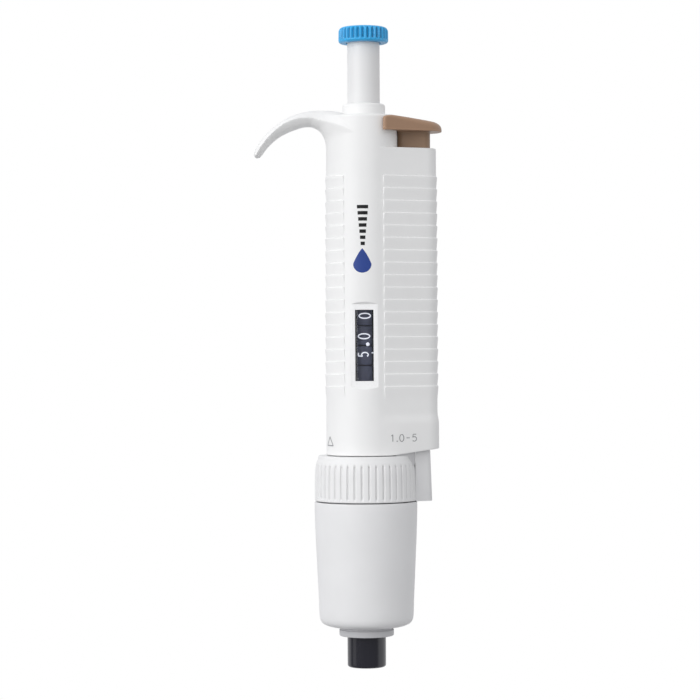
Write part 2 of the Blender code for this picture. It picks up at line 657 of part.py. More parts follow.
# ---- piston, springs and blow-out ------------------------------------------------------------------
def make_piston():
    turned("spring_cup", [
        (0.0, CUP_Z[1]), (CUP_NOSE_R, CUP_Z[1]), (CUP_NOSE_R, CUP_Z[0] + CUP_PLATE_T),
        (CUP_R, CUP_Z[0] + CUP_PLATE_T), (CUP_R, CUP_Z[0]), (0.0, CUP_Z[0])], "acetal")
    disc("piston_rod", ROD_R, ROD_LOW_Z, ROD_TOP_Z, "steel", 0.3 * MM, SMALL)
    groove_r = PISTON_R - PISTON_GROOVE_DEPTH
    hole_r, hole_floor = ROD_R + GAP, ROD_LOW_Z - GAP
    turned("piston", [
        (0.0, hole_floor), (hole_r, hole_floor), (hole_r, PISTON_Z[1]),
        (PISTON_R - 0.4 * MM, PISTON_Z[1]), (PISTON_R, PISTON_Z[1] - 0.4 * MM),
        (PISTON_R, PISTON_RING_Z + MM), (groove_r, PISTON_RING_Z + MM),
        (groove_r, PISTON_RING_Z - MM), (PISTON_R, PISTON_RING_Z - MM),
        (PISTON_R, PISTON_Z[0] + 0.6 * MM), (PISTON_R - 0.6 * MM, PISTON_Z[0]),
        (0.0, PISTON_Z[0])], "acetal")
    torus("piston_seal", PISTON_R - 0.45 * MM, PISTON_RING_R, PISTON_RING_Z, "rubber")
    ring("rod_bush", ROD_GUIDE_R, ROD_R + RUNNING_GAP, ROD_GUIDE_Z[0], ROD_GUIDE_Z[1], "acetal",
         0.3 * MM)
    ring("blowout_washer", WASHER_R, WASHER_BORE_R, WASHER_Z[0], WASHER_Z[1], "steel")
    spring_foot = ROD_GUIDE_Z[1] + GAP
    coil("return_spring", RETURN_COIL_R, RETURN_WIRE_R, spring_foot, CUP_Z[0] - GAP, 6, "steel")
    coil("blowout_spring", BLOWOUT_COIL_R, BLOWOUT_WIRE_R, spring_foot, WASHER_Z[0] - GAP, 3, "steel")


# ---- socket, coupling nut, barrel and nozzle -------------------------------------------------------
def make_lower_end():
    lip_low, lip_top = SOCKET_LIP_Z
    bore = CYLINDER_R + 0.15 * MM
    turned("barrel_socket", [
        (SOCKET_SPIGOT_R, SOCKET_TOP_Z), (SOCKET_SPIGOT_R, SOCKET_STEP_Z), (SOCKET_R, SOCKET_STEP_Z),
        (SOCKET_R, SOCKET_LOW_Z), (bore, SOCKET_LOW_Z), (bore, lip_low),
        (SOCKET_LIP_R, lip_low), (SOCKET_LIP_R, lip_top), (bore, lip_top), (bore, SOCKET_TOP_Z)],
        "acetal")

    nut_low, nut_top = NUT_Z
    nut = turned("coupling_nut", [
        (NUT_R - 2.3 * MM, nut_top), (NUT_R - 1.0 * MM, nut_top - 0.6 * MM),
        (NUT_R - 0.4 * MM, nut_top - 1.6 * MM), (NUT_R - 0.2 * MM, nut_top - 3.0 * MM),
        (NUT_R, nut_top - 5.0 * MM), (NUT_R, nut_low + 0.3 * MM), (NUT_R - 0.3 * MM, nut_low),
        (NUT_LIP_R, nut_low), (NUT_LIP_R, NUT_LIP_TOP_Z), (NUT_BORE_R, NUT_LIP_TOP_Z),
        (NUT_BORE_R, nut_top)], "white_nut", NUT_FLUTES)
    cut_flutes(nut, NUT_FLUTES, NUT_R + 0.15 * MM, 0.55 * MM, nut_low + 0.9 * MM, nut_top - 2.2 * MM,
               "nut_flutes")

    shoulder = BARREL_SHOULDER_Z
    rod_seat = ROD_GUIDE_Z[0] - GAP
    turned("barrel", [
        (SOCKET_R, BARREL_FLANGE_Z[1]), (SOCKET_R, BARREL_FLANGE_Z[0]), (BARREL_R, BARREL_FLANGE_Z[0]),
        (BARREL_R, shoulder + 2.5 * MM), (BARREL_R - 2.5 * MM, shoulder), (BARREL_NECK_R, shoulder),
        (BARREL_NECK_R, BARREL_NECK_Z), (NOZZLE_SPIGOT_R + GAP, BARREL_NECK_Z),
        (NOZZLE_SPIGOT_R + GAP, CYLINDER_FLOOR_Z - 0.6 * MM), (CYLINDER_R, CYLINDER_FLOOR_Z),
        (CYLINDER_R, rod_seat), (BARREL_SEAT_R, rod_seat), (BARREL_SEAT_R, BARREL_FLANGE_Z[1])],
        "clear_barrel")
    torus("nozzle_seal", NOZZLE_SEAL_R[0], NOZZLE_SEAL_R[1], (NOZZLE_SHOULDER_Z + BARREL_NECK_Z) / 2,
          "rubber")

    turned("nozzle", [
        (NOZZLE_SPIGOT_R, NOZZLE_TOP_Z), (NOZZLE_SPIGOT_R, NOZZLE_SHOULDER_Z),
        (NOZZLE_R, NOZZLE_SHOULDER_Z), (NOZZLE_R, 1.1 * MM), (NOZZLE_R - 0.3 * MM, 0.3 * MM),
        (NOZZLE_R - 1.1 * MM, 0.0), (FILTER_R + GAP, 0.0), (FILTER_R + GAP, FILTER_T + GAP),
        (NOZZLE_BORE_R, FILTER_T + GAP), (NOZZLE_BORE_R, NOZZLE_TOP_Z)], "black_nozzle")
    disc("nozzle_filter", FILTER_R, 0.0, FILTER_T, "filter_felt", 0.0, SMALL)


# ---- tip ejector -----------------------------------------------------------------------------------
def cap_outline(inset):
    """Plan of the ejector cap: a hollow that clears the column, two round corners in front of
    and behind it, straight flanks and a round rear end."""
    hollow_r = CASE_FRONT_R_TOP + CAP_HOLLOW_GAP + inset
    corner_x = CAP_LEFT_X + inset + CAP_CORNER_R
    corner_y = math.sqrt((hollow_r + CAP_CORNER_R) ** 2 - corner_x ** 2)
    rear_r = CAP_REAR_R - inset
    lean = math.atan2(corner_y, corner_x - CAP_REAR_X)
    flank = lean - math.acos((rear_r - CAP_CORNER_R) / math.hypot(corner_y, corner_x - CAP_REAR_X))
    facing_axis = math.pi + math.atan2(corner_y, corner_x)
    half = [(CAP_REAR_X + rear_r * math.cos(flank * k / 6), rear_r * math.sin(flank * k / 6))
            for k in range(1, 7)]
    for k in range(5):
        angle = flank + (facing_axis - flank) * k / 4
        half.append((corner_x + CAP_CORNER_R * math.cos(angle),
                     corner_y + CAP_CORNER_R * math.sin(angle)))
    edge = math.atan2(corner_y, corner_x)
    for k in range(1, 5):
        angle = edge * (1.0 - k / 5.0)
        half.append((min(hollow_r * math.cos(angle), STEM_X[0] + inset), hollow_r * math.sin(angle)))
    mirrored = [(x, -y) for x, y in reversed(half)]
    return [(CAP_REAR_X + rear_r, 0.0)] + half + mirrored


def arm_ring(z, inset):
    """Section of the arm: the rear end of the case's own section, set in, and hollowed to pass
    round the coupling nut."""
    front, rear = CASE_FRONT_R_LOW - inset, CASE_REAR_R_LOW - inset
    flat = math.acos((front - rear) / CASE_REAR_X)
    slope = math.tan(math.pi / 2.0 - flat)
    half = [(CASE_REAR_X + rear * math.cos(flat * k / 4), rear * math.sin(flat * k / 4))
            for k in range(1, 5)]
    edge_y = rear * math.sin(flat) + slope * (half[-1][0] - ARM_HOLLOW_R)
    edge = math.asin(edge_y / ARM_HOLLOW_R)
    for k in range(4):
        angle = edge * (1.0 - k / 4)
        half.append((ARM_HOLLOW_R * math.cos(angle), ARM_HOLLOW_R * math.sin(angle)))
    mirrored = [(x, -y) for x, y in reversed(half)]
    outline = [(CASE_REAR_X + rear, 0.0)] + half + [(ARM_HOLLOW_R, 0.0)] + mirrored
    return [(x, y, z) for x, y in outline]


def make_ejector():
    def cap_ring(inset, base, slope, lift):
        return [(x, y, base - slope * (x - CAP_LEFT_X) + lift) for x, y in cap_outline(inset)]

    cap = loft("ejector_button", [
        cap_ring(0.7 * MM, CAP_LOW_Z, CAP_LOW_SLOPE, 0.0),
        cap_ring(0.0, CAP_LOW_Z, CAP_LOW_SLOPE, 0.7 * MM),
        cap_ring(0.0, CAP_TOP_Z, CAP_TOP_SLOPE, -1.6 * MM),
        cap_ring(0.6 * MM, CAP_TOP_Z, CAP_TOP_SLOPE, -0.6 * MM),
        cap_ring(2.2 * MM, CAP_TOP_Z, CAP_TOP_SLOPE, 0.0)], "tan_button")
    outline = rounded_box_outline(STEM_X[0], STEM_X[1], STEM_HALF_W, 2.7 * MM)
    boolean(cap, prism("ejector_stem", outline, STEM_LOW_Z, CAP_LOW_Z + 1.5 * MM, "tan_button"), "UNION")

    centre = (EJECTOR_X, 0.0)
    disc("ejector_rod", EJECTOR_ROD_R, EJECTOR_ROD_Z[0], EJECTOR_ROD_Z[1], "steel", 0.0, 12, centre)
    ring("ejector_rod_guide", EJECTOR_GUIDE_R, EJECTOR_ROD_R + GAP, EJECTOR_SEAT_Z[0], EJECTOR_SEAT_Z[1],
         "acetal", 0.0, 12, centre)
    ring("ejector_rod_clip", EJECTOR_CLIP_R, EJECTOR_ROD_R + GAP, EJECTOR_CLIP_Z[0], EJECTOR_CLIP_Z[1],
         "steel", 0.0, 12, centre)
    coil("ejector_spring", EJECTOR_COIL_R, EJECTOR_WIRE_R, EJECTOR_SEAT_Z[1] + GAP,
         EJECTOR_CLIP_Z[0] - GAP, 5, "steel", centre)

    loft("ejector_arm", [arm_ring(ARM_Z[0], ARM_INSET_LOW), arm_ring(ARM_KNEE_Z, ARM_INSET_TOP),
                         arm_ring(ARM_Z[1], ARM_INSET_TOP)], "white_sleeve")

    sleeve = turned("ejector_sleeve", [
        (SLEEVE_R_TOP - 0.3 * MM, SLEEVE_TOP), (SLEEVE_R_TOP, SLEEVE_TOP - 0.3 * MM)]
        + sleeve_side() + [
        (COLLAR_GROOVE_R, SLEEVE_LOW), (COLLAR_GROOVE_R, COLLAR_TOP_Z), (COLLAR_R, COLLAR_TOP_Z),
         (COLLAR_R, COLLAR_Z + 0.3 * MM), (COLLAR_R - 0.3 * MM, COLLAR_Z),
        (COLLAR_BORE_R, COLLAR_Z), (COLLAR_BORE_R, SLEEVE_FLOOR_Z), (12.2 * MM, SLEEVE_FLOOR_Z),
        (15.0 * MM, 18.6 * MM), (15.6 * MM, 21.5 * MM), (SLEEVE_R_TOP - SLEEVE_SKIN, SLEEVE_TOP)],
        "white_sleeve", 32)
    lug_top = SLEEVE_TOP - 0.1 * MM
    lug = block("sleeve_lug", (LUG_X[0], -LUG_HALF_W, lug_top - LUG_T),
                (LUG_X[1], LUG_HALF_W, lug_top), "white_sleeve")
    boolean(sleeve, lug, "UNION")


def sleeve_side():
    """Outer side of the ejector sleeve: a slight taper into a round lower corner."""
    corner_x, corner_z = SLEEVE_R_LOW - SLEEVE_CORNER_R, SLEEVE_LOW + SLEEVE_CORNER_R
    return [(corner_x + SLEEVE_CORNER_R * math.cos(math.radians(a)),
             corner_z - SLEEVE_CORNER_R * math.sin(math.radians(a))) for a in range(0, 91, 18)]


# ---- build -----------------------------------------------------------------------------------------
FINISHES = {
    # name: (colour, roughness, metallic, alpha)
    "white_case": ((0.86, 0.87, 0.88), 0.42, 0.0, 1.0),
    "white_tube": ((0.87, 0.87, 0.88), 0.35, 0.0, 1.0),
    "white_nut": ((0.84, 0.85, 0.86), 0.45, 0.0, 1.0),
    "white_sleeve": ((0.85, 0.86, 0.86), 0.45, 0.0, 1.0),
    "blue_knob": ((0.06, 0.33, 0.66), 0.35, 0.0, 1.0),
    "tan_button": ((0.33, 0.20, 0.12), 0.45, 0.0, 1.0),
    "black_nozzle": ((0.03, 0.03, 0.04), 0.30, 0.0, 1.0),
    "dark_drum": ((0.03, 0.03, 0.05), 0.50, 0.0, 1.0),
    "acetal": ((0.70, 0.70, 0.68), 0.50, 0.0, 1.0),
    "clear": ((0.95, 0.97, 0.98), 0.05, 0.0, 0.3),
    "clear_barrel": ((0.80, 0.82, 0.84), 0.40, 0.0, 1.0),
    "steel": ((0.60, 0.60, 0.62), 0.30, 1.0, 1.0),
    "brass": ((0.72, 0.55, 0.25), 0.35, 1.0, 1.0),
    "rubber": ((0.02, 0.02, 0.02), 0.80, 0.0, 1.0),
    "filter_felt": ((0.85, 0.85, 0.82), 0.95, 0.0, 1.0),
}

clear_scene()
PARTS = collection("micropipette")
CUTTERS = collection("micropipette_cutters")
make_case()
make_lens()
make_counter()
make_plunger()
make_piston()
make_lower_end()
make_ejector()
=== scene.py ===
"""Adjustable micropipette: the fine surface, materials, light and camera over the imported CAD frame.

Lengths are written in millimetres and turned into metres where a mesh is made. Angles round the
plunger axis are measured from +X, so the window faces -90 degrees.
"""

import json
import math

import bpy
import numpy as np
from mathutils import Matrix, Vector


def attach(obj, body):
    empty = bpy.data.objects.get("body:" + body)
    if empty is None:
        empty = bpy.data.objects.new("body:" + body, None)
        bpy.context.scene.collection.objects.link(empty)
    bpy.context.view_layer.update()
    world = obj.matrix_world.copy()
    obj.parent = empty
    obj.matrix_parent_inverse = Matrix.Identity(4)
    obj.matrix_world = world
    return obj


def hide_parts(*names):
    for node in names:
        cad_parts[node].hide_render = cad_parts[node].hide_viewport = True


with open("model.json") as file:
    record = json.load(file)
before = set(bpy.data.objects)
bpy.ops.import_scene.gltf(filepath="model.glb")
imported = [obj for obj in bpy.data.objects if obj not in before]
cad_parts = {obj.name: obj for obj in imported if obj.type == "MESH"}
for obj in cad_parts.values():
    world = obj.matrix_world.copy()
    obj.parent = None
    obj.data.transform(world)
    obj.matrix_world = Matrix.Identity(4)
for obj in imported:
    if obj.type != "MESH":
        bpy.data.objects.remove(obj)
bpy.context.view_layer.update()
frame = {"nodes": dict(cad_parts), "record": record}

MM = 0.001
TAU = 2.0 * math.pi

# ---- sizes, in mm, as the CAD has them ---------------------------------------------------------
FRONT_R = (14.3, 13.8)                  # case: front circle at its lower end and at its shoulder
REAR_X = 20.8
REAR_R = (5.5, 5.4)
HEEL_FLARE = 0.5                        # how far the lowest part of the case swells at the rear
FLARE_Z = (88.6, 92.6)
CASE_Z = (77.3, 189.5)
SHOULDER_Z = 188.5
COLUMN_TOP = 200.35
COLUMN_R = 13.8
COLUMN_FLAT_X = 12.0
SEAM_Z = 182.0                          # the grip below and the head above are two meshes
HEEL_X, HEEL_RISE = 9.6, 2.2
RIB_TOP, RIB_PITCH, RIB_COUNT, RIB_END = 178.2, 4.472, 18, 97.6
RIB_PROUD = 0.36
KNOB_FLUTES, NUT_FLUTES = 30, 44
KNOB_GROOVE, NUT_GROOVE = 0.90, 0.50    # how deep their grooves are cut
TUBE_R = 5.9
DRUM_R, DRUM_BORE_R, DRUM_HALF_H = 9.7, 5.2, 3.42
ARM_HOLLOW_R, ARM_CORNER_R = 18.58, 2.6
RANGE_GLYPH = (1.5, 2.5, 0.30)          # width, height and stroke of the printed range
RANGE_Z = 83.6
PRINT_LIFT = 0.025                      # how far print stands off the skin
STRIP_X = 7.1                           # half width of the smooth strip between the rib fields
WINDOW_Z = 117.0
POCKET_HALF_W = 4.85
POCKET_Z = (RIB_TOP - RIB_PITCH * (RIB_COUNT - 1) + 0.02, 131.85)
POCKET_Y = -13.26
OPENING_HALF = (3.40, 12.9)
GUIDE_HOLE_R = 7.3
BORE_R = 10.2
ROOF_Z = 198.7
SLOT_X, SLOT_HALF_W = (11.85, 24.4), 3.9

# finger hook: a middle line with the section's reach above and below it and its half width
HOOK = (
    # x, z, up, down, half width
    (2.0, 191.6, 6.6, 4.6, 12.7),
    (-1.5, 193.0, 6.4, 4.6, 13.2),
    (-4.4, 194.3, 6.0, 4.6, 13.1),
    (-7.3, 195.9, 5.5, 4.4, 12.1),
    (-11.2, 197.35, 5.1, 3.9, 9.9),
    (-15.0, 198.5, 4.3, 3.3, 7.7),
    (-18.5, 199.5, 3.2, 2.85, 6.6),
    (-21.9, 199.7, 2.35, 2.95, 6.4),
    (-25.3, 199.1, 1.85, 3.2, 6.3),
    (-29.2, 197.35, 1.6, 2.95, 6.1),
    (-33.1, 194.4, 1.6, 2.3, 5.7),
    (-36.5, 190.6, 1.68, 1.8, 5.2),
    (-38.35, 187.8, 1.5, 1.6, 4.6),
    (-38.94, 186.8, 1.3, 1.35, 4.2),
)


# ---- mesh helpers ------------------------------------------------------------------------------
def piece(name, points, faces, material, body, replaces=(), sharp=40.0, normals=None):
    """A mesh object from points in mm, smooth but for its sharp edges, riding on a CAD body."""
    mesh = bpy.data.meshes.new(name)
    mesh.from_pydata((np.asarray(points, float) * MM).tolist(), [], [list(map(int, f)) for f in faces])
    mesh.validate()
    mesh.shade_smooth()
    if normals is not None:
        mesh.normals_split_custom_set_from_vertices(normals.tolist())
    else:
        mesh.set_sharp_from_angle(angle=math.radians(sharp))
    made = bpy.data.objects.new(name, mesh)
    bpy.context.scene.collection.objects.link(made)
    mesh.materials.append(material)
    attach(made, body)
    if replaces:
        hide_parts(*replaces)
    return made


def grid_faces(rows, columns, closed=True, start=0):
    """Quads between rows of points; each row may close on itself."""
    faces = []
    for r in range(rows - 1):
        for c in range(columns if closed else columns - 1):
            a, b = start + r * columns + c, start + r * columns + (c + 1) % columns
            faces.append((a, b, b + columns, a + columns))
    return faces


def arc_points(profile, steps=4):
    """Round the corners of a profile of (r, z) or (r, z, corner radius) points."""
    found = []
    count = len(profile)
    for k, point in enumerate(profile):
        radius = point[2] if len(point) > 2 else 0.0
        if radius <= 0.0 or k in (0, count - 1):
            found.append(np.array(point[:2], float))
            continue
        here = np.array(point[:2], float)
        before = np.array(profile[k - 1][:2], float) - here
        after = np.array(profile[k + 1][:2], float) - here
        before, after = before / np.linalg.norm(before), after / np.linalg.norm(after)
        half = math.acos(max(-1.0, min(1.0, float(before @ after)))) / 2.0
        reach = radius / math.tan(half)
        middle = (before + after) / np.linalg.norm(before + after)
        centre = here + middle * radius / math.sin(half)
        first, last = here + before * reach - centre, here + after * reach - centre
        a0, a1 = math.atan2(first[1], first[0]), math.atan2(last[1], last[0])
        turn = (a1 - a0 + math.pi) % TAU - math.pi
        for s in range(steps + 1):
            angle = a0 + turn * s / steps
            found.append(centre + radius * np.array((math.cos(angle), math.sin(angle))))
    return np.array(found)


def turned(profile, columns, cut=None, closed=False):
    """Points and faces of a profile turned about the plunger axis. cut(angle, r, z) gives how far
    each point stands in from the plain turned shape."""
    angles = TAU * np.arange(columns) / columns
    r, a = np.meshgrid(profile[:, 0], angles, indexing="ij")
    z = np.repeat(profile[:, 1][:, None], columns, axis=1)
    if cut is not None:
        r = r - cut(a, r, z)
    points = np.stack((r * np.cos(a), r * np.sin(a), z), axis=2).reshape(-1, 3)
    faces = grid_faces(len(profile), columns)
    if closed:
        last = (len(profile) - 1) * columns
        faces += [(last + c, last + (c + 1) % columns, (c + 1) % columns, c) for c in range(columns)]
    return points, faces


def split_long(profile, longest):
    """Add points to a profile so that no span is longer than that."""
    found = [profile[0]]
    for a, b in zip(profile, profile[1:]):
        parts = max(1, int(math.ceil(np.linalg.norm(b - a) / longest)))
        found += [a + (b - a) * k / parts for k in range(1, parts + 1)]
    return np.array(found)


def ease(x, low, high):
    """0 below low, 1 above high, smooth between."""
    t = np.clip((np.asarray(x, float) - low) / (high - low), 0.0, 1.0)
    return t * t * (3.0 - 2.0 * t)


# ---- materials ---------------------------------------------------------------------------------
def shader_nodes(name):
    """A new material, its node tree and its shader."""
    made = bpy.data.materials.new(name)
    made.use_nodes = True
    tree = made.node_tree
    return made, tree, tree.nodes["Principled BSDF"]


def noise(tree, scale, detail=2.0, stretch=(1.0, 1.0, 1.0)):
    """A noise value fixed to the object."""
    where = tree.nodes.new("ShaderNodeTexCoord")
    mapping = tree.nodes.new("ShaderNodeMapping")
    mapping.inputs["Scale"].default_value = stretch
    grain = tree.nodes.new("ShaderNodeTexNoise")
    grain.inputs["Scale"].default_value = scale
    grain.inputs["Detail"].default_value = detail
    tree.links.new(where.outputs["Object"], mapping.inputs["Vector"])
    tree.links.new(mapping.outputs["Vector"], grain.inputs["Vector"])
    return grain.outputs["Fac"]


def remap(tree, value, low, high):
    """A noise value spread between two numbers."""
    node = tree.nodes.new("ShaderNodeMapRange")
    node.inputs["From Min"].default_value = 0.3
    node.inputs["From Max"].default_value = 0.7
    node.inputs["To Min"].default_value = low
    node.inputs["To Max"].default_value = high
    tree.links.new(value, node.inputs["Value"])
    return node.outputs["Result"]


def mottle(tree, value, first, second):
    """A noise value as a colour between two."""
    node = tree.nodes.new("ShaderNodeValToRGB")
    node.color_ramp.elements[0].position = 0.35
    node.color_ramp.elements[0].color = (*first, 1.0)
    node.color_ramp.elements[1].position = 0.65
    node.color_ramp.elements[1].color = (*second, 1.0)
    tree.links.new(value, node.inputs["Fac"])
    return node.outputs["Color"]


def plastic(name, colour, roughness, spread=0.015, grain=1400.0, depth=0.006, gloss=0.5):
    """Moulded plastic: a fine spark-eroded grain, faint mottling and uneven gloss."""
    made, tree, shader = shader_nodes(name)
    light = tuple(min(1.0, c * (1.0 + spread)) for c in colour)
    dark = tuple(c * (1.0 - spread) for c in colour)
    cloud = noise(tree, 55.0, 3.0)
    tree.links.new(mottle(tree, cloud, dark, light), shader.inputs["Base Color"])
    fine = noise(tree, grain)
    tree.links.new(remap(tree, fine, roughness - 0.05, roughness + 0.05), shader.inputs["Roughness"])
    bump = tree.nodes.new("ShaderNodeBump")
    bump.inputs["Strength"].default_value = 0.35
    bump.inputs["Distance"].default_value = depth * MM
    tree.links.new(fine, bump.inputs["Height"])
    tree.links.new(bump.outputs["Normal"], shader.inputs["Normal"])
    shader.inputs["Specular IOR Level"].default_value = gloss
    return made


def paint_groove_shade_and_ridge_highlight(made, least, most, convex):
    """Painted shade and highlight: scale the colour from least in hollows, where shade falls, to most on
    ridges as sharp as convex, where light catches.
    """
    tree = made.node_tree
    shader = tree.nodes["Principled BSDF"]
    shape = tree.nodes.new("ShaderNodeNewGeometry")
    depth = tree.nodes.new("ShaderNodeMapRange")
    for socket, value in (("From Min", 0.44), ("From Max", convex), ("To Min", least), ("To Max", most)):
        depth.inputs[socket].default_value = value
    scaled = tree.nodes.new("ShaderNodeVectorMath")
    scaled.operation = "SCALE"
    tree.links.new(shape.outputs["Pointiness"], depth.inputs["Value"])
    tree.links.new(shader.inputs["Base Color"].links[0].from_socket, scaled.inputs[0])
    tree.links.new(depth.outputs["Result"], scaled.inputs["Scale"])
    tree.links.new(scaled.outputs["Vector"], shader.inputs["Base Color"])


def metal(name, colour, roughness, stretch):
    """Turned or drawn metal: fine lines along one direction."""
    made, tree, shader = shader_nodes(name)
    shader.inputs["Metallic"].default_value = 1.0
    lines = noise(tree, 300.0, 3.0, stretch)
    tint = mottle(tree, lines, tuple(c * 0.9 for c in colour), colour)
    tree.links.new(tint, shader.inputs["Base Color"])
    tree.links.new(remap(tree, lines, roughness - 0.08, roughness + 0.08), shader.inputs["Roughness"])
    bump = tree.nodes.new("ShaderNodeBump")
    bump.inputs["Strength"].default_value = 0.3
    bump.inputs["Distance"].default_value = 0.004 * MM
    tree.links.new(lines, bump.inputs["Height"])
    tree.links.new(bump.outputs["Normal"], shader.inputs["Normal"])
    return made


def clear_plastic(name):
    """Polished clear window: mostly see-through, with a faint smoky film and a gloss."""
    made, tree, shader = shader_nodes(name)
    shader.inputs["Base Color"].default_value = (0.88, 0.90, 0.96, 1.0)
    shader.inputs["Metallic"].default_value = 1.0
    tree.links.new(remap(tree, noise(tree, 700.0), 0.05, 0.12), shader.inputs["Roughness"])
    through = tree.nodes.new("ShaderNodeBsdfTransparent")
    mix = tree.nodes.new("ShaderNodeMixShader")
    rim = tree.nodes.new("ShaderNodeFresnel")
    rim.inputs["IOR"].default_value = 1.45
    tree.links.new(rim.outputs["Fac"], mix.inputs["Fac"])
    tree.links.new(through.outputs["BSDF"], mix.inputs[1])
    tree.links.new(shader.outputs["BSDF"], mix.inputs[2])
    tree.links.new(mix.outputs["Shader"], tree.nodes["Material Output"].inputs["Surface"])
    return made


MATERIALS = {
    "case_white": plastic("moulded_white", (0.90, 0.90, 0.895), 0.42),
    "tube_white": plastic("tube_white", (0.82, 0.82, 0.82), 0.40, 0.005, 1800.0, 0.001, gloss=0.6),
    "nut_white": plastic("nut_white", (0.86, 0.86, 0.86), 0.45),
    "sleeve_white": plastic("sleeve_white", (0.83, 0.83, 0.835), 0.42),
    "barrel_white": plastic("barrel_white", (0.80, 0.82, 0.84), 0.40),
    "knob_blue": plastic("knob_blue", (0.020, 0.43, 0.86), 0.40, 0.01, 500.0, 0.0001, gloss=0.9),
    "button_tan": plastic("button_tan", (0.385, 0.237, 0.152), 0.40, 0.03),
    "nozzle_black": plastic("nozzle_black", (0.016, 0.016, 0.024), 0.16, 0.06, 2200.0, 0.0004, gloss=0.7),
    "drum_dark": plastic("drum_dark", (0.085, 0.095, 0.150), 0.45, 0.25, 900.0, 0.003),
    "window_clear": clear_plastic("window_clear"),
    "acetal": plastic("acetal", (0.70, 0.70, 0.68), 0.48),
    "steel": metal("steel", (0.62, 0.62, 0.64), 0.28, (1.0, 1.0, 12.0)),
    "brass": metal("brass", (0.78, 0.58, 0.27), 0.30, (1.0, 1.0, 12.0)),
    "rubber": plastic("rubber", (0.018, 0.018, 0.018), 0.70, 0.10, 1200.0, 0.010),
    "filter_felt": plastic("filter_felt", (0.84, 0.83, 0.79), 0.95, 0.05, 2600.0, 0.060),
}
# painted shade in the knob's, the nut's and the button's grooves, and painted highlight on the knob's
# ridges and the button's edges
paint_groove_shade_and_ridge_highlight(MATERIALS["knob_blue"], 0.50, most=1.15, convex=0.56)
paint_groove_shade_and_ridge_highlight(MATERIALS["nut_white"], 0.78, most=1.0, convex=0.50)
paint_groove_shade_and_ridge_highlight(MATERIALS["button_tan"], 0.75, most=1.4, convex=0.60)
# painted shade: faces drawn darker than the rest of their moulding where shade falls on them, under the
# case's rim, the sleeve and the button's cap
FOOT_PAINTED_SHADE = plastic("foot_painted_shade", (0.66, 0.66, 0.67), 0.45)
COLLAR_PAINTED_SHADE = plastic("collar_painted_shade", (0.62, 0.62, 0.635), 0.42)
STEM_PAINTED_SHADE = plastic("stem_painted_shade", (0.30, 0.195, 0.125), 0.40, 0.03)
INK_WHITE_PAINTED_GLOW = plastic("ink_white_painted_glow", (0.86, 0.88, 0.93), 0.50, 0.02)
# painted light: the white print glows a little, so the numerals read bright inside the window's recess
for socket, value in (("Emission Color", (0.80, 0.84, 0.95, 1.0)), ("Emission Strength", 0.55)):
    INK_WHITE_PAINTED_GLOW.node_tree.nodes["Principled BSDF"].inputs[socket].default_value = value
# painted highlight: a lighter, glossier copy of the case's white for the window pocket's floor and the
# opening's walls
BEZEL_PAINTED_HIGHLIGHT = plastic("bezel_painted_highlight", (0.97, 0.97, 0.97), 0.30, 0.01)
# black print for the bars, and painted shadow for the strips inside the window
BLACK_INK_AND_PAINTED_SHADOW = plastic("black_ink_and_painted_shadow", (0.010, 0.010, 0.011), 0.45, 0.10)
INK_BLUE = plastic("ink_blue", (0.020, 0.060, 0.300), 0.42, 0.06)
INK_GREY = plastic("ink_grey", (0.33, 0.33, 0.34), 0.50, 0.04)

for part in frame["record"]["subparts"]:
    mesh = frame["nodes"][part["node"]].data
    mesh.materials.clear()
    mesh.materials.append(MATERIALS[part["material_slot"]])


# ---- case: the grip ----------------------------------------------------------------------------
def case_radii(z):
    """Front and rear radius of the case's section at height z."""
    share = (np.asarray(z, float) - CASE_Z[0]) / (CASE_Z[1] - CASE_Z[0])
    return FRONT_R[0] + (FRONT_R[1] - FRONT_R[0]) * share, REAR_R[0] + (REAR_R[1] - REAR_R[0]) * share


def rib_height(z):
    """How far the ribbed skin stands proud at height z: a ledge, then a long taper below it."""
    height = 0.0
    for k in range(RIB_COUNT):
        down = RIB_TOP - RIB_PITCH * k - z
        end = RIB_TOP - RIB_PITCH * k - RIB_END if k == RIB_COUNT - 1 else RIB_PITCH - 0.18
        height = max(height, float(np.interp(
            down, (-0.18, -0.02, 0.12, 0.5, end), (0.0, 0.72 * RIB_PROUD, RIB_PROUD, RIB_PROUD, 0.0))))
    return height


def half_section(front, rear):
    """Half of the case's section from the rear tip to the front circle's far side, as x, y and
    the outward normal, with columns at fixed x across the front."""
    lean = (front - rear) / REAR_X
    flat = math.acos(lean)
    rows = []
    for k in range(11):
        a = flat * k / 10
        rows.append((REAR_X + rear * math.cos(a), -rear * math.sin(a), math.cos(a), -math.sin(a)))
    tangent_x, tangent_y = front * lean, front * math.sin(flat)
    slope = (rear * math.sin(flat) - tangent_y) / (REAR_X + rear * lean - tangent_x)
    flank = np.linspace(rows[-1][0], STRIP_X + 0.6, 8)[1:]
    for x in (*flank, STRIP_X + 0.13, STRIP_X - 0.10, 6.4):
        rows.append((x, -(tangent_y + slope * (x - tangent_x)), math.cos(flat), -math.sin(flat)))
    for x in FRONT_COLUMNS:
        y = -math.sqrt(front ** 2 - x ** 2)
        rows.append((x, y, x / front, y / front))
    begin = math.atan2(rows[-1][1], rows[-1][0]) % TAU
    for k in range(1, 17):
        a = begin + (math.pi - begin) * k / 16
        rows.append((front * math.cos(a), front * math.sin(a), math.cos(a), math.sin(a)))
    return np.array(rows)


FRONT_COLUMNS = [5.7, POCKET_HALF_W + 0.10, POCKET_HALF_W, 4.1, OPENING_HALF[0], 2.6, 1.75, 0.9, 0.0]
FRONT_COLUMNS += [-x for x in reversed(FRONT_COLUMNS[:-1])]
FRONT_COLUMNS += [-6.4, -STRIP_X + 0.10, -STRIP_X - 0.13]


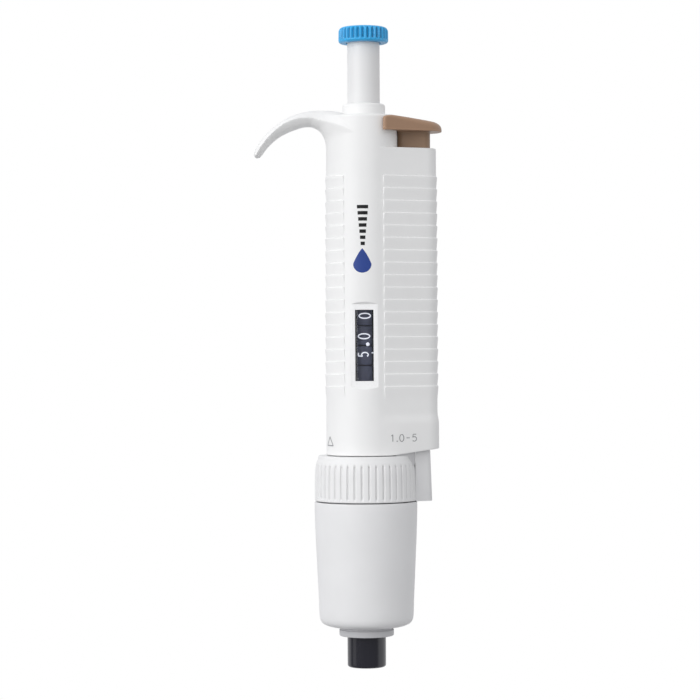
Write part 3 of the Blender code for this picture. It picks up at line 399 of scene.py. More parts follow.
def make_grip():
    """The outer skin of the case below the seam, with its ribs, window pocket and lower rim."""
    levels = {CASE_Z[0] + rise for rise in (0.0, 0.12, 0.35, 0.8)}
    levels |= {80.0, 83.0, 86.0, 94.0, 95.5, RIB_END, 180.3, SEAM_Z + 0.5}
    levels |= {float(z) for z in np.linspace(FLARE_Z[0] - 0.4, FLARE_Z[1] + 0.4, 9)}
    for k in range(RIB_COUNT):
        top = RIB_TOP - RIB_PITCH * k
        levels |= {top + 0.18, top + 0.02, top - 0.12, top - 0.5, top - 1.6, top - 2.9}
    middle = WINDOW_Z
    low, high = POCKET_Z
    levels = {z for z in levels if abs(z - high) > 0.25}
    levels |= {high, high + 0.03, middle - OPENING_HALF[1], middle + OPENING_HALF[1]}
    levels = sorted(levels)

    rows = []
    for z in levels:
        front, rear = (float(v) for v in case_radii(z))
        half = half_section(front, rear)
        mirrored = half[-2:0:-1] * np.array((1.0, -1.0, 1.0, -1.0))
        ring = np.vstack((half, mirrored))
        x, y, nx, ny = ring.T
        lift = rib_height(z) * (np.abs(x) > STRIP_X).astype(float) * (x > -20.0)
        lift = lift + HEEL_FLARE * (1.0 - ease(z, *FLARE_Z)) * ease(x, 3.0, 13.0)
        lift = lift - np.interp(z, (CASE_Z[0], CASE_Z[0] + 0.12, CASE_Z[0] + 0.35), (0.18, 0.05, 0.0))
        px, py = x + lift * nx, y + lift * ny
        in_front = (y < 0.0) & (np.abs(x) < POCKET_HALF_W + 0.01)
        depth = np.where(in_front, np.maximum(POCKET_Y - py, 0.0), 0.0)
        ledge = 0.0
        if low - 0.01 < z < high + 0.01:
            py = py + depth
        elif z > middle:
            ledge = max(0.0, 1.0 - (z - high) / 4.5)
        else:
            ledge = -max(0.0, 1.0 - (low - z) / 4.5)
        climb = HEEL_RISE * np.clip((x - HEEL_X) / (REAR_X + 6.0 - HEEL_X), 0.0, 1.0)
        pz = z + climb * np.clip((87.0 - z) / (87.0 - CASE_Z[0]), 0.0, 1.0) + ledge * depth
        rows.append(np.stack((px, py, pz), axis=1))
    columns = len(rows[0])

    rim = []
    for inset, z in ((1.7, CASE_Z[0]), (2.0, CASE_Z[0] + 0.3), (2.0, 92.0)):
        front, rear = (float(v) - inset for v in case_radii(CASE_Z[0]))
        half = half_section(front, rear)
        ring = np.vstack((half, half[-2:0:-1] * np.array((1.0, -1.0, 1.0, -1.0))))
        climb = HEEL_RISE * np.clip((ring[:, 0] - HEEL_X) / (REAR_X + 6.0 - HEEL_X), 0.0, 1.0)
        rim.append(np.stack((ring[:, 0], ring[:, 1], z + climb), axis=1))
    rings = list(reversed(rim)) + rows
    points = np.vstack(rings)
    faces = grid_faces(len(rings), columns)

    centre = points[np.array([f for f in faces])].mean(axis=1)
    hole = ((np.abs(centre[:, 0]) < OPENING_HALF[0]) & (centre[:, 1] < 0.0)
            & (np.abs(centre[:, 2] - middle) < OPENING_HALF[1]))
    # the pocket's floor takes the painted highlight
    floor = ((np.abs(centre[:, 0]) < POCKET_HALF_W) & (centre[:, 1] < 0.0)
             & (centre[:, 2] > low) & (centre[:, 2] < high))
    kept = [(f, painted_highlight_face) for f, gone, painted_highlight_face in zip(faces, hole, floor) if not gone]
    grip = piece("case_grip", points, [f for f, painted_highlight_face in kept], MATERIALS["case_white"], "handle",
                 ("case",), 28.0)
    grip.data.materials.append(BEZEL_PAINTED_HIGHLIGHT)
    grip.data.polygons.foreach_set("material_index", [int(painted_highlight_face) for f, painted_highlight_face in kept])
    make_window_frame(middle)


def make_window_frame(middle):
    """The walls of the window opening, with a small round where they meet the pocket."""
    steps = ((0.0, 0.0), (0.05, 0.02), (0.08, 0.08), (0.10, 0.6), (0.12, 1.9))
    rings = []
    for inward, depth in steps:
        w, h = OPENING_HALF[0] - inward, OPENING_HALF[1] - inward
        rings.append([(x, POCKET_Y + depth, middle + z) for x, z in ((-w, -h), (w, -h), (w, h), (-w, h))])
    points = np.array(rings).reshape(-1, 3)
    # the opening's walls are drawn in the painted highlight
    piece("window_frame", points, grid_faces(len(rings), 4), BEZEL_PAINTED_HIGHLIGHT, "handle",
          (), 50.0)


# ---- case: the head, cut from one smooth field -------------------------------------------------
def smooth_min(a, b, k):
    h = np.maximum(k - np.abs(a - b), 0.0) / k
    return np.minimum(a, b) - h * h * k / 4.0


def smooth_max(a, b, k):
    return -smooth_min(-a, -b, k)


def capped(flat, z, top, radius):
    """Distance to a vertical prism with a rounded top edge, from its flat distance."""
    a, b = flat + radius, z - top + radius
    return np.minimum(np.maximum(a, b), 0.0) + np.hypot(np.maximum(a, 0.0), np.maximum(b, 0.0)) - radius


def teardrop(x, y, front, rear):
    """Flat distance to the hull of the front circle and the rear circle."""
    y = np.abs(y)
    b = (front - rear) / REAR_X
    a = np.sqrt(1.0 - b * b)
    k = a * x - b * y
    return np.where(k < 0.0, np.hypot(x, y) - front,
                    np.where(k > a * REAR_X, np.hypot(x - REAR_X, y) - rear, a * y + b * x - front))


def spline(stations, count):
    """Stations joined by a smooth curve, at even steps."""
    stations = np.array(stations, float)
    padded = np.vstack((2 * stations[0] - stations[1], stations, 2 * stations[-1] - stations[-2]))
    found = []
    for t in np.linspace(0.0, len(stations) - 1.0, count):
        k = min(int(t), len(stations) - 2)
        s = t - k
        a, b, c, d = padded[k:k + 4]
        found.append(0.5 * (2 * b + (c - a) * s + (2 * a - 5 * b + 4 * c - d) * s * s
                            + (3 * b - a - 3 * c + d) * s ** 3))
    return np.array(found)


HOOK_LINE = spline(HOOK, 90)
HOOK_ALONG = np.gradient(HOOK_LINE[:, :2], axis=0)
HOOK_ALONG /= np.linalg.norm(HOOK_ALONG, axis=1)[:, None]


def hook_field(x, y, z):
    """Near distance to the finger hook: a crowned upper half over a flatter lower half."""
    line = HOOK_LINE
    found = np.full(x.shape, 9.0)
    close = x < 2.0
    px, py, pz = x[close], y[close], z[close]
    value = np.empty(len(px))
    steps = np.diff(line[:, :2], axis=0)
    for start in range(0, len(px), 20000):
        part = slice(start, start + 20000)
        dx = px[part, None] - line[None, :-1, 0]
        dz = pz[part, None] - line[None, :-1, 1]
        share = np.clip((dx * steps[:, 0] + dz * steps[:, 1]) / (steps ** 2).sum(axis=1), 0.0, 1.0)
        away = (dx - share * steps[:, 0]) ** 2 + (dz - share * steps[:, 1]) ** 2
        near = np.argmin(away, axis=1)
        place = near + share[np.arange(len(near)), near]
        at = [np.interp(place, np.arange(len(line)), column) for column in (*line.T, *HOOK_ALONG.T)]
        dx, dz = px[part] - at[0], pz[part] - at[1]
        height = dx * at[6] - dz * at[5]
        beyond = np.maximum(dx * at[5] + dz * at[6], 0.0) * (place > len(line) - 1.5)
        reach = np.where(height > 0.0, at[2], at[3])
        rise = np.abs(height / reach) ** np.where(height > 0.0, 1.3, 1.2)
        across = np.abs(py[part] / at[4]) ** 2.5
        tip = (beyond / np.minimum(at[2], at[3])) ** 2
        size = at[3] + (at[2] - at[3]) * ease(height, -1.5, 1.5)
        value[part] = ((rise + across + tip) ** 0.62 - 1.0) * size * 1.1
    found[close] = value
    return found


def head_field(x, y, z):
    """Near distance to the case above the seam: ejector housing, column and hook, with the
    guide hole, the plunger bore and the ejector stem's slot cut out."""
    front, rear = case_radii(np.minimum(z, CASE_Z[1]))
    housing = capped(teardrop(x, y, front, rear), z, SHOULDER_Z, 0.4)
    column = capped(np.hypot(x, y) - COLUMN_R, z, COLUMN_TOP, 0.9)
    column = smooth_max(column, x - COLUMN_FLAT_X, 0.5) + 0.3 * np.maximum(187.0 - z, 0.0)
    body = smooth_min(housing, column, 0.002 + 0.5 * ease(x, 9.0, 11.5))
    under = ease(-x, 9.0, 14.5) * (1.0 - ease(z, 194.0, 200.5))
    fillet = 0.3 + 1.6 * ease(-x, 3.0, 10.0) + 2.3 * under
    body = smooth_min(body, hook_field(x, y, z), fillet)
    hole = np.hypot(x, y) - GUIDE_HOLE_R
    bore = np.maximum(np.hypot(x, y) - BORE_R, z - ROOF_Z)
    middle, half = (SLOT_X[0] + SLOT_X[1]) / 2, (SLOT_X[1] - SLOT_X[0]) / 2
    corner = 2.9
    qx, qy = np.abs(x - middle) - half + corner, np.abs(y) - SLOT_HALF_W + corner
    slot = (np.minimum(np.maximum(qx, qy), 0.0) + np.hypot(np.maximum(qx, 0.0), np.maximum(qy, 0.0))
            - corner)
    for cutter in (hole, bore, slot):
        body = smooth_max(body, -cutter, 0.4)
    return body


def surface_net(field, low, high, cell):
    """Mesh of a field's zero surface inside a box, with exact points and normals."""
    axes = [np.arange(a, b + cell, cell) for a, b in zip(low, high)]
    x, y, z = np.meshgrid(*axes, indexing="ij")
    value = field(x, y, z)
    inside = value < 0.0
    cells = tuple(n - 1 for n in value.shape)
    total, count = np.zeros(cells + (3,)), np.zeros(cells)
    crossings = []
    for axis in range(3):
        here = [slice(None)] * 3
        there = [slice(None)] * 3
        here[axis], there[axis] = slice(0, -1), slice(1, None)
        a, b = value[tuple(here)], value[tuple(there)]
        cross = inside[tuple(here)] != inside[tuple(there)]
        index = np.argwhere(cross)
        share = a[cross] / (a[cross] - b[cross])
        place = index.astype(float)
        place[:, axis] += share
        others = [k for k in range(3) if k != axis]
        crossings.append((axis, others, index, inside[tuple(here)][cross]))
        for i in (0, 1):
            for j in (0, 1):
                owner = index.copy()
                owner[:, others[0]] -= i
                owner[:, others[1]] -= j
                ok = np.all((owner >= 0) & (owner < np.array(cells)), axis=1)
                spot = tuple(owner[ok].T)
                np.add.at(total, spot, place[ok])
                np.add.at(count, spot, 1.0)
    number = -np.ones(cells, int)
    used = count > 0
    number[used] = np.arange(used.sum())
    points = total[used] / count[used][:, None] * cell + np.array(low)

    faces = []
    for axis, others, index, starts_inside in crossings:
        owners = []
        for i, j in ((0, 0), (1, 0), (1, 1), (0, 1)):
            owner = index.copy()
            owner[:, others[0]] -= i
            owner[:, others[1]] -= j
            owners.append(owner)
        ok = np.all([np.all((o >= 0) & (o < np.array(cells)), axis=1) for o in owners], axis=0)
        quads = np.stack([number[tuple(o[ok].T)] for o in owners], axis=1)
        forward = starts_inside[ok] == (axis != 1)
        faces.append(np.where(forward[:, None], quads, quads[:, ::-1]))
    faces = np.vstack(faces)

    step = 0.01
    for round_number in range(5):
        slope = np.stack([
            (field(*(points + step * e).T) - field(*(points - step * e).T)) / (2 * step)
            for e in np.eye(3)], axis=1)
        size = np.maximum((slope ** 2).sum(axis=1), 0.05)
        if round_number < 4:
            move = (field(*points.T) / size)[:, None] * slope
            points -= np.clip(move, -cell * 0.5, cell * 0.5)
    normals = slope / np.linalg.norm(slope, axis=1)[:, None]
    return points, faces, normals


def make_head():
    points, faces, normals = surface_net(
        head_field, (-41.2, -15.2, SEAM_Z), (27.2, 15.2, 204.2), 0.4)
    tuck = 0.012 * (points[:, 2] < SEAM_Z + 0.6)
    points = points - normals * tuck[:, None]
    piece("case_head", points, faces, MATERIALS["case_white"], "handle", (),
          normals=normals)


make_grip()
make_head()


# ---- window lens and drums ---------------------------------------------------------------------
def make_lens():
    """Clear window, its face bowed about an upright axis."""
    w, h, lift = OPENING_HALF[0] - 0.16, OPENING_HALF[1] - 0.16, 0.45
    across = np.linspace(-w, w, 13)
    face = [(x, -12.35 - lift * (1.0 - (x / w) ** 2)) for x in across]
    section = np.array(face + [(w, -10.6), (-w, -10.6)])
    points = np.vstack([np.column_stack((section, np.full(len(section), z))) for z in
                        (WINDOW_Z - h, WINDOW_Z + h)])
    faces = grid_faces(2, len(section)) + [tuple(range(len(section)))[::-1],
                                           tuple(range(len(section), 2 * len(section)))]
    piece("lens", points, faces, MATERIALS["window_clear"], "handle",
          ("window_lens",), 40.0)


# Strokes of each numeral in a box one wide and two high, from the lower left corner.
def oval(cx, cy, rx, ry, start=0.0, sweep=360.0, steps=28):
    return [(cx + rx * math.cos(math.radians(start + sweep * k / steps)),
             cy + ry * math.sin(math.radians(start + sweep * k / steps))) for k in range(steps + 1)]


NUMERALS = {
    0: [oval(0.5, 1.0, 0.5, 1.0)],
    1: [[(0.22, 1.62), (0.56, 2.0), (0.56, 0.0)]],
    2: [oval(0.5, 1.48, 0.48, 0.52, 170, -200, 18) + [(0.0, 0.0), (1.0, 0.0)]],
    3: [oval(0.48, 1.5, 0.45, 0.5, 150, -240, 16), oval(0.48, 0.52, 0.5, 0.52, 90, -240, 16)],
    4: [[(0.78, 0.0), (0.78, 2.0), (0.0, 0.6), (1.0, 0.6)]],
    5: [[(0.92, 2.0), (0.18, 2.0), (0.1, 1.12)] + oval(0.46, 0.66, 0.52, 0.66, 128, -268, 20)],
    6: [[(0.78, 2.0), (0.16, 1.05)] + oval(0.5, 0.62, 0.48, 0.62, 150, -360, 24)],
    7: [[(0.0, 2.0), (1.0, 2.0), (0.36, 0.0)]],
    8: [oval(0.5, 1.5, 0.43, 0.5), oval(0.5, 0.5, 0.5, 0.5)],
    9: [[(0.22, 0.0), (0.84, 0.95)] + oval(0.5, 1.38, 0.48, 0.62, -30, 360, 24)],
    "-": [[(0.1, 1.0), (0.9, 1.0)]],
    ".": [oval(0.5, 0.08, 0.07, 0.07, 0, 360, 8)],
}


def dense(line, longest):
    """The same polyline with no span longer than that."""
    found = [np.array(line[0], float)]
    for a, b in zip(line, line[1:]):
        a, b = np.array(a, float), np.array(b, float)
        parts = max(1, int(math.ceil(np.linalg.norm(b - a) / longest)))
        found += [a + (b - a) * k / parts for k in range(1, parts + 1)]
    return np.array(found)


def ribbon(line, width):
    """A stroke of even width along a polyline in the plane: points and faces."""
    along = np.gradient(line, axis=0)
    along /= np.maximum(np.linalg.norm(along, axis=1), 1e-9)[:, None]
    if np.allclose(line[0], line[-1]):
        joined = along[0] + along[-1]
        along[0] = along[-1] = joined / np.linalg.norm(joined)
    side = np.stack((-along[:, 1], along[:, 0]), axis=1) * width / 2.0
    points = np.stack((line + side, line - side), axis=1).reshape(-1, 2)
    faces = [(2 * k, 2 * k + 1, 2 * k + 3, 2 * k + 2) for k in range(len(line) - 1)]
    return points, faces


DIGIT_HIGH, DIGIT_WIDE, DIGIT_STROKE = 4.15, 1.80, 0.44


def make_drum(node, body, middle, digits=(), shift=0.0, rise=0.0, size=1.0):
    """A counter drum, and its ring of numerals lying on their sides with their tops to the left."""
    radius, low, high = DRUM_R, middle - DRUM_HALF_H, middle + DRUM_HALF_H
    profile = arc_points([(DRUM_BORE_R, high), (radius, high, 0.25),
                          (radius, low, 0.25), (DRUM_BORE_R, low)], 3)
    points, faces = turned(profile, 96, closed=True)
    piece(node + "_fine", points, [f[::-1] for f in faces], MATERIALS["drum_dark"], body,
          (node,), 35.0)
    points, faces, count = [], [], 0
    for k, digit in enumerate(digits):
        if digit is None:
            continue

        def place(flat, facing=math.radians(-90.0 + 36.0 * k)):
            angle = facing + (shift - flat[:, 1]) / radius
            up = middle + rise + flat[:, 0]
            out = radius + 0.03
            return np.stack((out * np.cos(angle), out * np.sin(angle), up), axis=1)

        made, quads = numeral(digit, DIGIT_WIDE * size, DIGIT_HIGH * size, DIGIT_STROKE, place)
        points.append(made)
        faces += [tuple(i + count for i in q) for q in quads]
        count += len(made)
    if points:
        piece(node + "_numerals", np.vstack(points), faces, INK_WHITE_PAINTED_GLOW, body)


def numeral(mark, wide, high, stroke, place):
    """One numeral's strokes, centred, as a mesh; place turns flat points into points in mm."""
    points, faces, count = [], [], 0
    for line in NUMERALS[mark]:
        centred = (np.array(line, float) - (0.5, 1.0)) * (wide, high / 2.0)
        flat, quads = ribbon(dense(centred, 0.3), stroke)
        points.append(place(flat))
        faces += [tuple(i + count for i in q) for q in quads]
        count += len(flat)
    return np.vstack(points), faces


make_lens()
make_drum("drum_hundredths", "hundredths", 127.7, (0, 5, 0, 5, 0, 5, 0, 5, 0, 5), 0.1, 0.0)
make_drum("drum_tenths", "tenths", 120.55, (0, 9, 8, 7, 6, 5, 4, 3, 2, 1), -0.2, -0.2)
make_drum("drum_units", "units", 113.4, (5, 4, 3, 2, 1, 0, None, None, None, None), -0.5, 0.35, 0.86)
make_drum("drum_spacer", "handle", 106.25)


def make_shadow_strips():
    """Painted shadow: dark strips inside the window where the gaps at the drums' ends fall in shade; they
    also hide the drums' ends.
    """
    points, faces = [], []
    for x0, x1 in ((-3.3, -2.72), (2.72, 3.3)):
        for k, (x, y) in enumerate(((x0, -10.2), (x1, -10.2), (x1, -9.95), (x0, -9.95))):
            points += [(x, y, WINDOW_Z - 12.6), (x, y, WINDOW_Z + 12.6)]
    for start in (0, 8):
        faces += [tuple(start + i for i in f) for f in (
            (0, 2, 3, 1), (2, 4, 5, 3), (4, 6, 7, 5), (6, 0, 1, 7), (0, 6, 4, 2), (1, 3, 5, 7))]
    piece("window_shadow_strips", points, faces, BLACK_INK_AND_PAINTED_SHADOW, "handle")


make_shadow_strips()


def flat_mark(name, outline, y, material):
    """A flat filled shape facing the front."""
    middle = np.mean(outline, axis=0)
    points = [(middle[0], y, middle[1])] + [(x, y, z) for x, z in outline]
    count = len(outline)
    faces = [(0, 1 + k, 1 + (k + 1) % count) for k in range(count)]
    return piece(name, points, faces, material, "handle")


flat_mark("decimal_dot", [(1.15 + 0.66 * math.cos(TAU * k / 24), 117.45 + 0.66 * math.sin(TAU * k / 24))
                          for k in range(24)], -10.35, INK_WHITE_PAINTED_GLOW)
flat_mark("index_tick", [(2.25, 114.35), (3.15, 114.0), (3.15, 114.7)], -10.3, INK_WHITE_PAINTED_GLOW)


# ---- plunger, guide and knob -------------------------------------------------------------------
def make_plunger():
    knob_r, low, high = 9.1, 227.1, 232.9
    profile = split_long(arc_points([
        (0.02, high), (knob_r - 0.1, high - 0.05, 1.5), (knob_r, low, 1.0), (6.3, low, 0.2),
        (6.2, low + 2.0)], 6), 0.6)

    def flutes(angle, r, z):
        wave = np.clip(0.5 - 0.5 * np.cos(KNOB_FLUTES * angle), 0.0, 1.0)
        groove = wave ** 1.2
        zone = ease(z, low + 0.9, low + 1.5) * (1.0 - ease(z, high - 1.3, high - 0.35)) * (r > 7.6)
        return KNOB_GROOVE * groove * zone

    points, faces = turned(profile, KNOB_FLUTES * 14, flutes)
    piece("knob_fine", points, [f[::-1] for f in faces], MATERIALS["knob_blue"], "plunger",
          ("knob",), 60.0)

    def keyway(angle, r, z):
        off = np.abs((angle - math.pi / 2 + math.pi) % TAU - math.pi) * TUBE_R
        return (1.0 - ease(off, 0.80, 1.0)) * (r > 5.0) * (z < 225.6)

    profile = split_long(arc_points([(TUBE_R, 229.9), (TUBE_R, 180.2, 0.3), (2.85, 180.2)], 3), 4.0)
    points, faces = turned(profile, 180, keyway)
    piece("plunger_tube_fine", points, [f[::-1] for f in faces], MATERIALS["tube_white"], "plunger",
          ("plunger_tube",), 50.0)

    profile = split_long(arc_points([
        (6.2, 197.3), (6.2, 204.9, 0.25), (7.75, 204.9, 0.95), (7.8, 203.1, 0.25), (7.8, 200.4),
        (7.0, 200.4), (7.0, 197.3)], 5), 2.0)
    points, faces = turned(profile, 128)
    piece("plunger_guide_fine", points, faces, MATERIALS["case_white"], "handle",
          ("plunger_guide",), 40.0)


make_plunger()


# ---- coupling nut, ejector sleeve and nozzle ---------------------------------------------------
def make_nut():
    low, shoulder = 60.6, 73.4
    curve = [(12.0, 75.8), (12.0, 77.02), (16.9, 77.0), (17.12, 76.93), (17.2, 76.75), (17.33, 76.2),
             (17.55, 75.6), (17.8, 75.0), (18.0, 74.3), (18.2, 73.5), (18.35, 72.6),
             (18.45, 71.5), (18.5, 70.0)]
    profile = split_long(np.vstack((curve, arc_points([
        (18.52, 68.0), (18.6, low, 0.3), (13.9, low)], 5))), 0.6)

    def flutes(angle, r, z):
        turn = (NUT_FLUTES * angle / TAU) % 1.0 - 0.5
        groove = 1.0 - ease(np.maximum(-turn, 0.25 * turn), 0.03, 0.085)
        zone = (ease(z, low + 0.8, low + 1.1) * (1.0 - ease(z, shoulder + 0.3, shoulder + 0.6))
                * (r > 17.0))
        return NUT_GROOVE * groove * zone

    points, faces = turned(profile, NUT_FLUTES * 20, flutes)
    piece("coupling_nut_fine", points, [f[::-1] for f in faces], MATERIALS["nut_white"], "handle",
          ("coupling_nut",), 50.0)
    profile = arc_points([(11.8, 86.0), (11.8, 75.4), (15.0, 75.4), (15.4, 74.8), (15.4, 66.0),
                          (10.4, 66.0), (10.4, 86.0)])
    points, faces = turned(profile, 72, closed=True)
    piece("barrel_socket_fine", points, [f[::-1] for f in faces], MATERIALS["acetal"], "handle",
          ("barrel_socket",), 40.0)


def make_sleeve():
    side = [(18.69, 59.8), (18.69, 57.0), (18.62, 53.5), (18.35, 46.2), (18.0, 38.95),
            (17.68, 31.7), (17.34, 24.4), (17.25, 20.8), (17.12, 18.6), (17.0, 17.8), (16.78, 17.1),
            (16.4, 16.4), (15.95, 15.98), (15.3, 15.62), (14.5, 15.27), (13.1, 14.9),
            (11.5, 14.68), (10.0, 14.56), (9.6, 14.52)]
    profile = split_long(np.vstack((
        arc_points([(17.0, 59.0), (17.3, 60.2, 0.3), (18.45, 60.2), (18.64, 60.1)], 5), side,
        arc_points([(9.3, 14.5), (9.3, 13.65, 0.1), (9.95, 13.65, 0.2), (9.95, 11.4, 0.45),
                    (7.5, 11.4, 0.25), (7.5, 16.0)], 6))), 2.5)
    points, faces = turned(profile, 160)
    sleeve = piece("ejector_sleeve_fine", points, [f[::-1] for f in faces], MATERIALS["sleeve_white"],
                   "ejector", ("ejector_sleeve",), 40.0)
    # painted shade: the collar under the sleeve's overhang is drawn in a darker grey
    sleeve.data.materials.append(COLLAR_PAINTED_SHADE)
    collar_shade_faces = points[np.array(faces)].mean(axis=1)[:, 2] < 14.5
    sleeve.data.polygons.foreach_set("material_index", collar_shade_faces.astype(int).tolist())


def make_nozzle():
    profile = split_long(arc_points([
        (5.4, 23.6), (5.4, 16.9, 0.1), (7.05, 16.9, 0.2), (7.0, 0.0, 0.85), (5.35, 0.0, 0.15),
        (5.3, 4.3), (3.5, 4.3)], 7), 2.0)
    points, faces = turned(profile, 128)
    piece("nozzle_fine", points, [f[::-1] for f in faces], MATERIALS["nozzle_black"], "handle",
          ("nozzle",), 40.0)


def make_arm():
    """The ejector arm: a rib that carries on the case's rear flanks down past the nut."""
    rings = []
    for z, rear, half in ((60.4, 24.05, 4.2), (60.55, 24.15, 4.3), (79.5, 23.5, 4.3), (90.0, 23.5, 4.3)):
        radius = ARM_CORNER_R
        left = math.sqrt(ARM_HOLLOW_R ** 2 - half ** 2)
        lean = math.asin((half - radius) / math.hypot(rear - radius - left, half - radius) * 0.9)
        arc = [(rear - radius + radius * math.cos(a), radius * math.sin(a))
               for a in np.linspace(0.0, math.pi / 2 - lean, 9)]
        hollow = [(ARM_HOLLOW_R * math.cos(a), ARM_HOLLOW_R * math.sin(a))
                  for a in np.linspace(math.asin(half / ARM_HOLLOW_R), 0.0, 6)]
        side = arc[1:] + hollow[:-1]
        ring = [arc[0]] + side + [hollow[-1]] + [(x, -y) for x, y in reversed(side)]
        rings.append([(x, y, z) for x, y in ring])
    count = len(rings[0])
    points = np.vstack(rings)
    faces = grid_faces(len(rings), count)
    faces += [tuple(range(count))[::-1], tuple(range(3 * count, 4 * count))]
    piece("ejector_arm_fine", points, faces, MATERIALS["sleeve_white"], "ejector",
          ("ejector_arm",), 40.0)


def make_foot():
    """The case's closed end between the nut's shoulder and the arm's slot, drawn grey as painted shade
    under the case's rim.
    """
    flank = [(11.0, -10.0), (12.5, -9.35), (14.5, -8.3), (16.3, -7.0), (17.3, -5.8),
             (17.85, -4.8), (17.98, -4.2)]
    outline = flank + [(x, -y) for x, y in reversed(flank)]
    count = len(outline)
    points = [(x, y, z) for z in (73.7, 80.5) for x, y in outline]
    faces = [tuple(range(count))[::-1], tuple(range(count, 2 * count))] + grid_faces(2, count)
    piece("case_foot", points, faces, FOOT_PAINTED_SHADE, "handle")


CAP_CROWN = ((7.1, 8.5, 10.3, 12.0, 16.0, 19.0, 22.8, 25.8, 28.4),
             (199.4, 199.7, 199.85, 199.7, 199.25, 198.85, 198.35, 197.9, 197.2))
CAP_LOW_Z = 194.5
CAP_REAR = (20.4, 7.95)
CAP_FLANK = math.radians(65.4)


def button_field(x, y, z):
    """Near distance to the ejector button: a crescent cap round the column, on its stem."""
    side = np.abs(y)
    reach = x - CAP_REAR[0]
    behind = np.arctan2(side, reach) < CAP_FLANK
    flank = reach * math.cos(CAP_FLANK) + side * math.sin(CAP_FLANK)
    plan = np.where(behind, np.hypot(reach, side), flank)
    plan = smooth_max(plan - CAP_REAR[1], 7.05 - x, 1.6)
    hollow = np.maximum(np.hypot(x, y) - 14.25, x - 12.3)
    plan = smooth_max(plan, -hollow, 0.7)
    top = np.interp(x, *CAP_CROWN)
    cap = capped(plan, z - top, 0.0, np.interp(x, (8.0, 24.0), (0.8, 1.9)))
    cap = smooth_max(cap, CAP_LOW_Z - z, 0.25)
    qx, qy = np.abs(x - 18.08) - 6.02 + 2.6, side - 3.6 + 2.6
    stem = np.minimum(np.maximum(qx, qy), 0.0) + np.hypot(np.maximum(qx, 0.0), np.maximum(qy, 0.0)) - 2.6
    stem = np.maximum(stem, np.maximum(184.0 - z, z - 197.0))
    return smooth_min(cap, stem, 0.5)


def make_button():
    points, faces, normals = surface_net(button_field, (6.2, -14.8, 183.6), (29.2, 14.8, 200.6), 0.36)
    button = piece("ejector_button_fine", points, faces, MATERIALS["button_tan"], "ejector",
                   ("ejector_button",), normals=normals)
    # painted shade: the stem under the cap is drawn in a darker tan
    button.data.materials.append(STEM_PAINTED_SHADE)
    middles = points[faces].mean(axis=1)
    button.data.polygons.foreach_set("material_index", (middles[:, 2] < CAP_LOW_Z).astype(int).tolist())


make_nut()
make_sleeve()
make_nozzle()
make_arm()
make_foot()
make_button()


# ---- printed marks -----------------------------------------------------------------------------
def case_front(x, z):
    """y of the case's skin in front, at each x and z."""
    front, rear = case_radii(z)
    lean = (front - rear) / REAR_X
    flat = np.arccos(lean)
    edge = front * lean
    slope = (rear * np.sin(flat) - front * np.sin(flat)) / (REAR_X + rear * lean - edge)
    flank = front * np.sin(flat) + slope * (x - edge)
    y = np.where(x < edge, np.sqrt(np.maximum(front ** 2 - x ** 2, 0.0)), flank)
    return -(y + HEEL_FLARE * (1.0 - ease(z, *FLARE_Z)) * ease(x, 3.0, 13.0) / np.sin(flat))


def on_case(flat):
    x, z = flat[:, 0], flat[:, 1]
    return np.stack((x, case_front(x, z) - PRINT_LIFT, z), axis=1)


def sheet_mark(name, low, high, width_at, material):
    """A filled shape printed on the case: rows from low to high, width_at(row) giving x ends."""
    rows = np.linspace(low, high, max(3, int((high - low) / 0.25)))
    flat = []
    for z in rows:
        x0, x1 = width_at(z)
        flat += [(x0 + (x1 - x0) * k / 8, z) for k in range(9)]
    piece(name, on_case(np.array(flat)), grid_faces(len(rows), 9, False), material, "handle")


def drop_width(z):
    """Half outline of the drop: a round belly and a drawn-out tip."""
    t = (z - 143.1) / 8.8
    half = 3.3 * math.sqrt(max(0.0, 1.0 - ((t - 0.36) / 0.36) ** 2)) if t < 0.36 else \
        3.3 * (1.0 - (t - 0.36) / 0.64) ** 0.9 * (1.0 + 0.35 * (t - 0.36))
    return -0.6 - half, -0.6 + half


def make_marks():
    sheet_mark("mark_drop", 143.12, 151.85, drop_width, INK_BLUE)
    for k in range(7):
        z, half = 153.0 + 2.2 * k, 0.75 + 0.21 * k
        sheet_mark(f"mark_bar_{k + 1}", z, z + 1.25,
                   lambda row, half=half: (-0.4 - half, -0.4 + half), BLACK_INK_AND_PAINTED_SHADOW)
    points, faces, count = [], [], 0
    for k, mark in enumerate((1, ".", 0, "-", 5)):
        place_x = (9.9, 11.55, 13.2, 15.5, 17.8)[k]
        made, quads = numeral(mark, *RANGE_GLYPH, lambda flat: on_case(flat + (place_x, RANGE_Z)))
        points.append(made)
        faces += [tuple(i + count for i in q) for q in quads]
        count += len(made)
    piece("mark_range", np.vstack(points), faces, INK_GREY, "handle")
    flat, quads = ribbon(dense([(-2.3, 80.85), (2.3, 80.85), (0.0, 84.05), (-2.3, 80.85)], 0.3), 0.40)
    angle = math.radians(-153.0) + flat[:, 0] / FRONT_R[0]
    around = (FRONT_R[0] + 0.03) * np.stack((np.cos(angle), np.sin(angle)), axis=1)
    piece("mark_triangle", np.column_stack((around, flat[:, 1])), quads, INK_GREY, "handle")


make_marks()


# ---- light, floor and camera -------------------------------------------------------------------
AXIS_OFFSET = 5.5                       # the axis stands this far right of the picture's middle
AIM_Z = 115.4
DISTANCE = 865.0
CAMERA_TURN = math.radians(1.3)
CAMERA_ROLL = math.radians(-0.33)
LENS = 122.0
WORLD_LOW, WORLD_HIGH = 0.30, 0.82


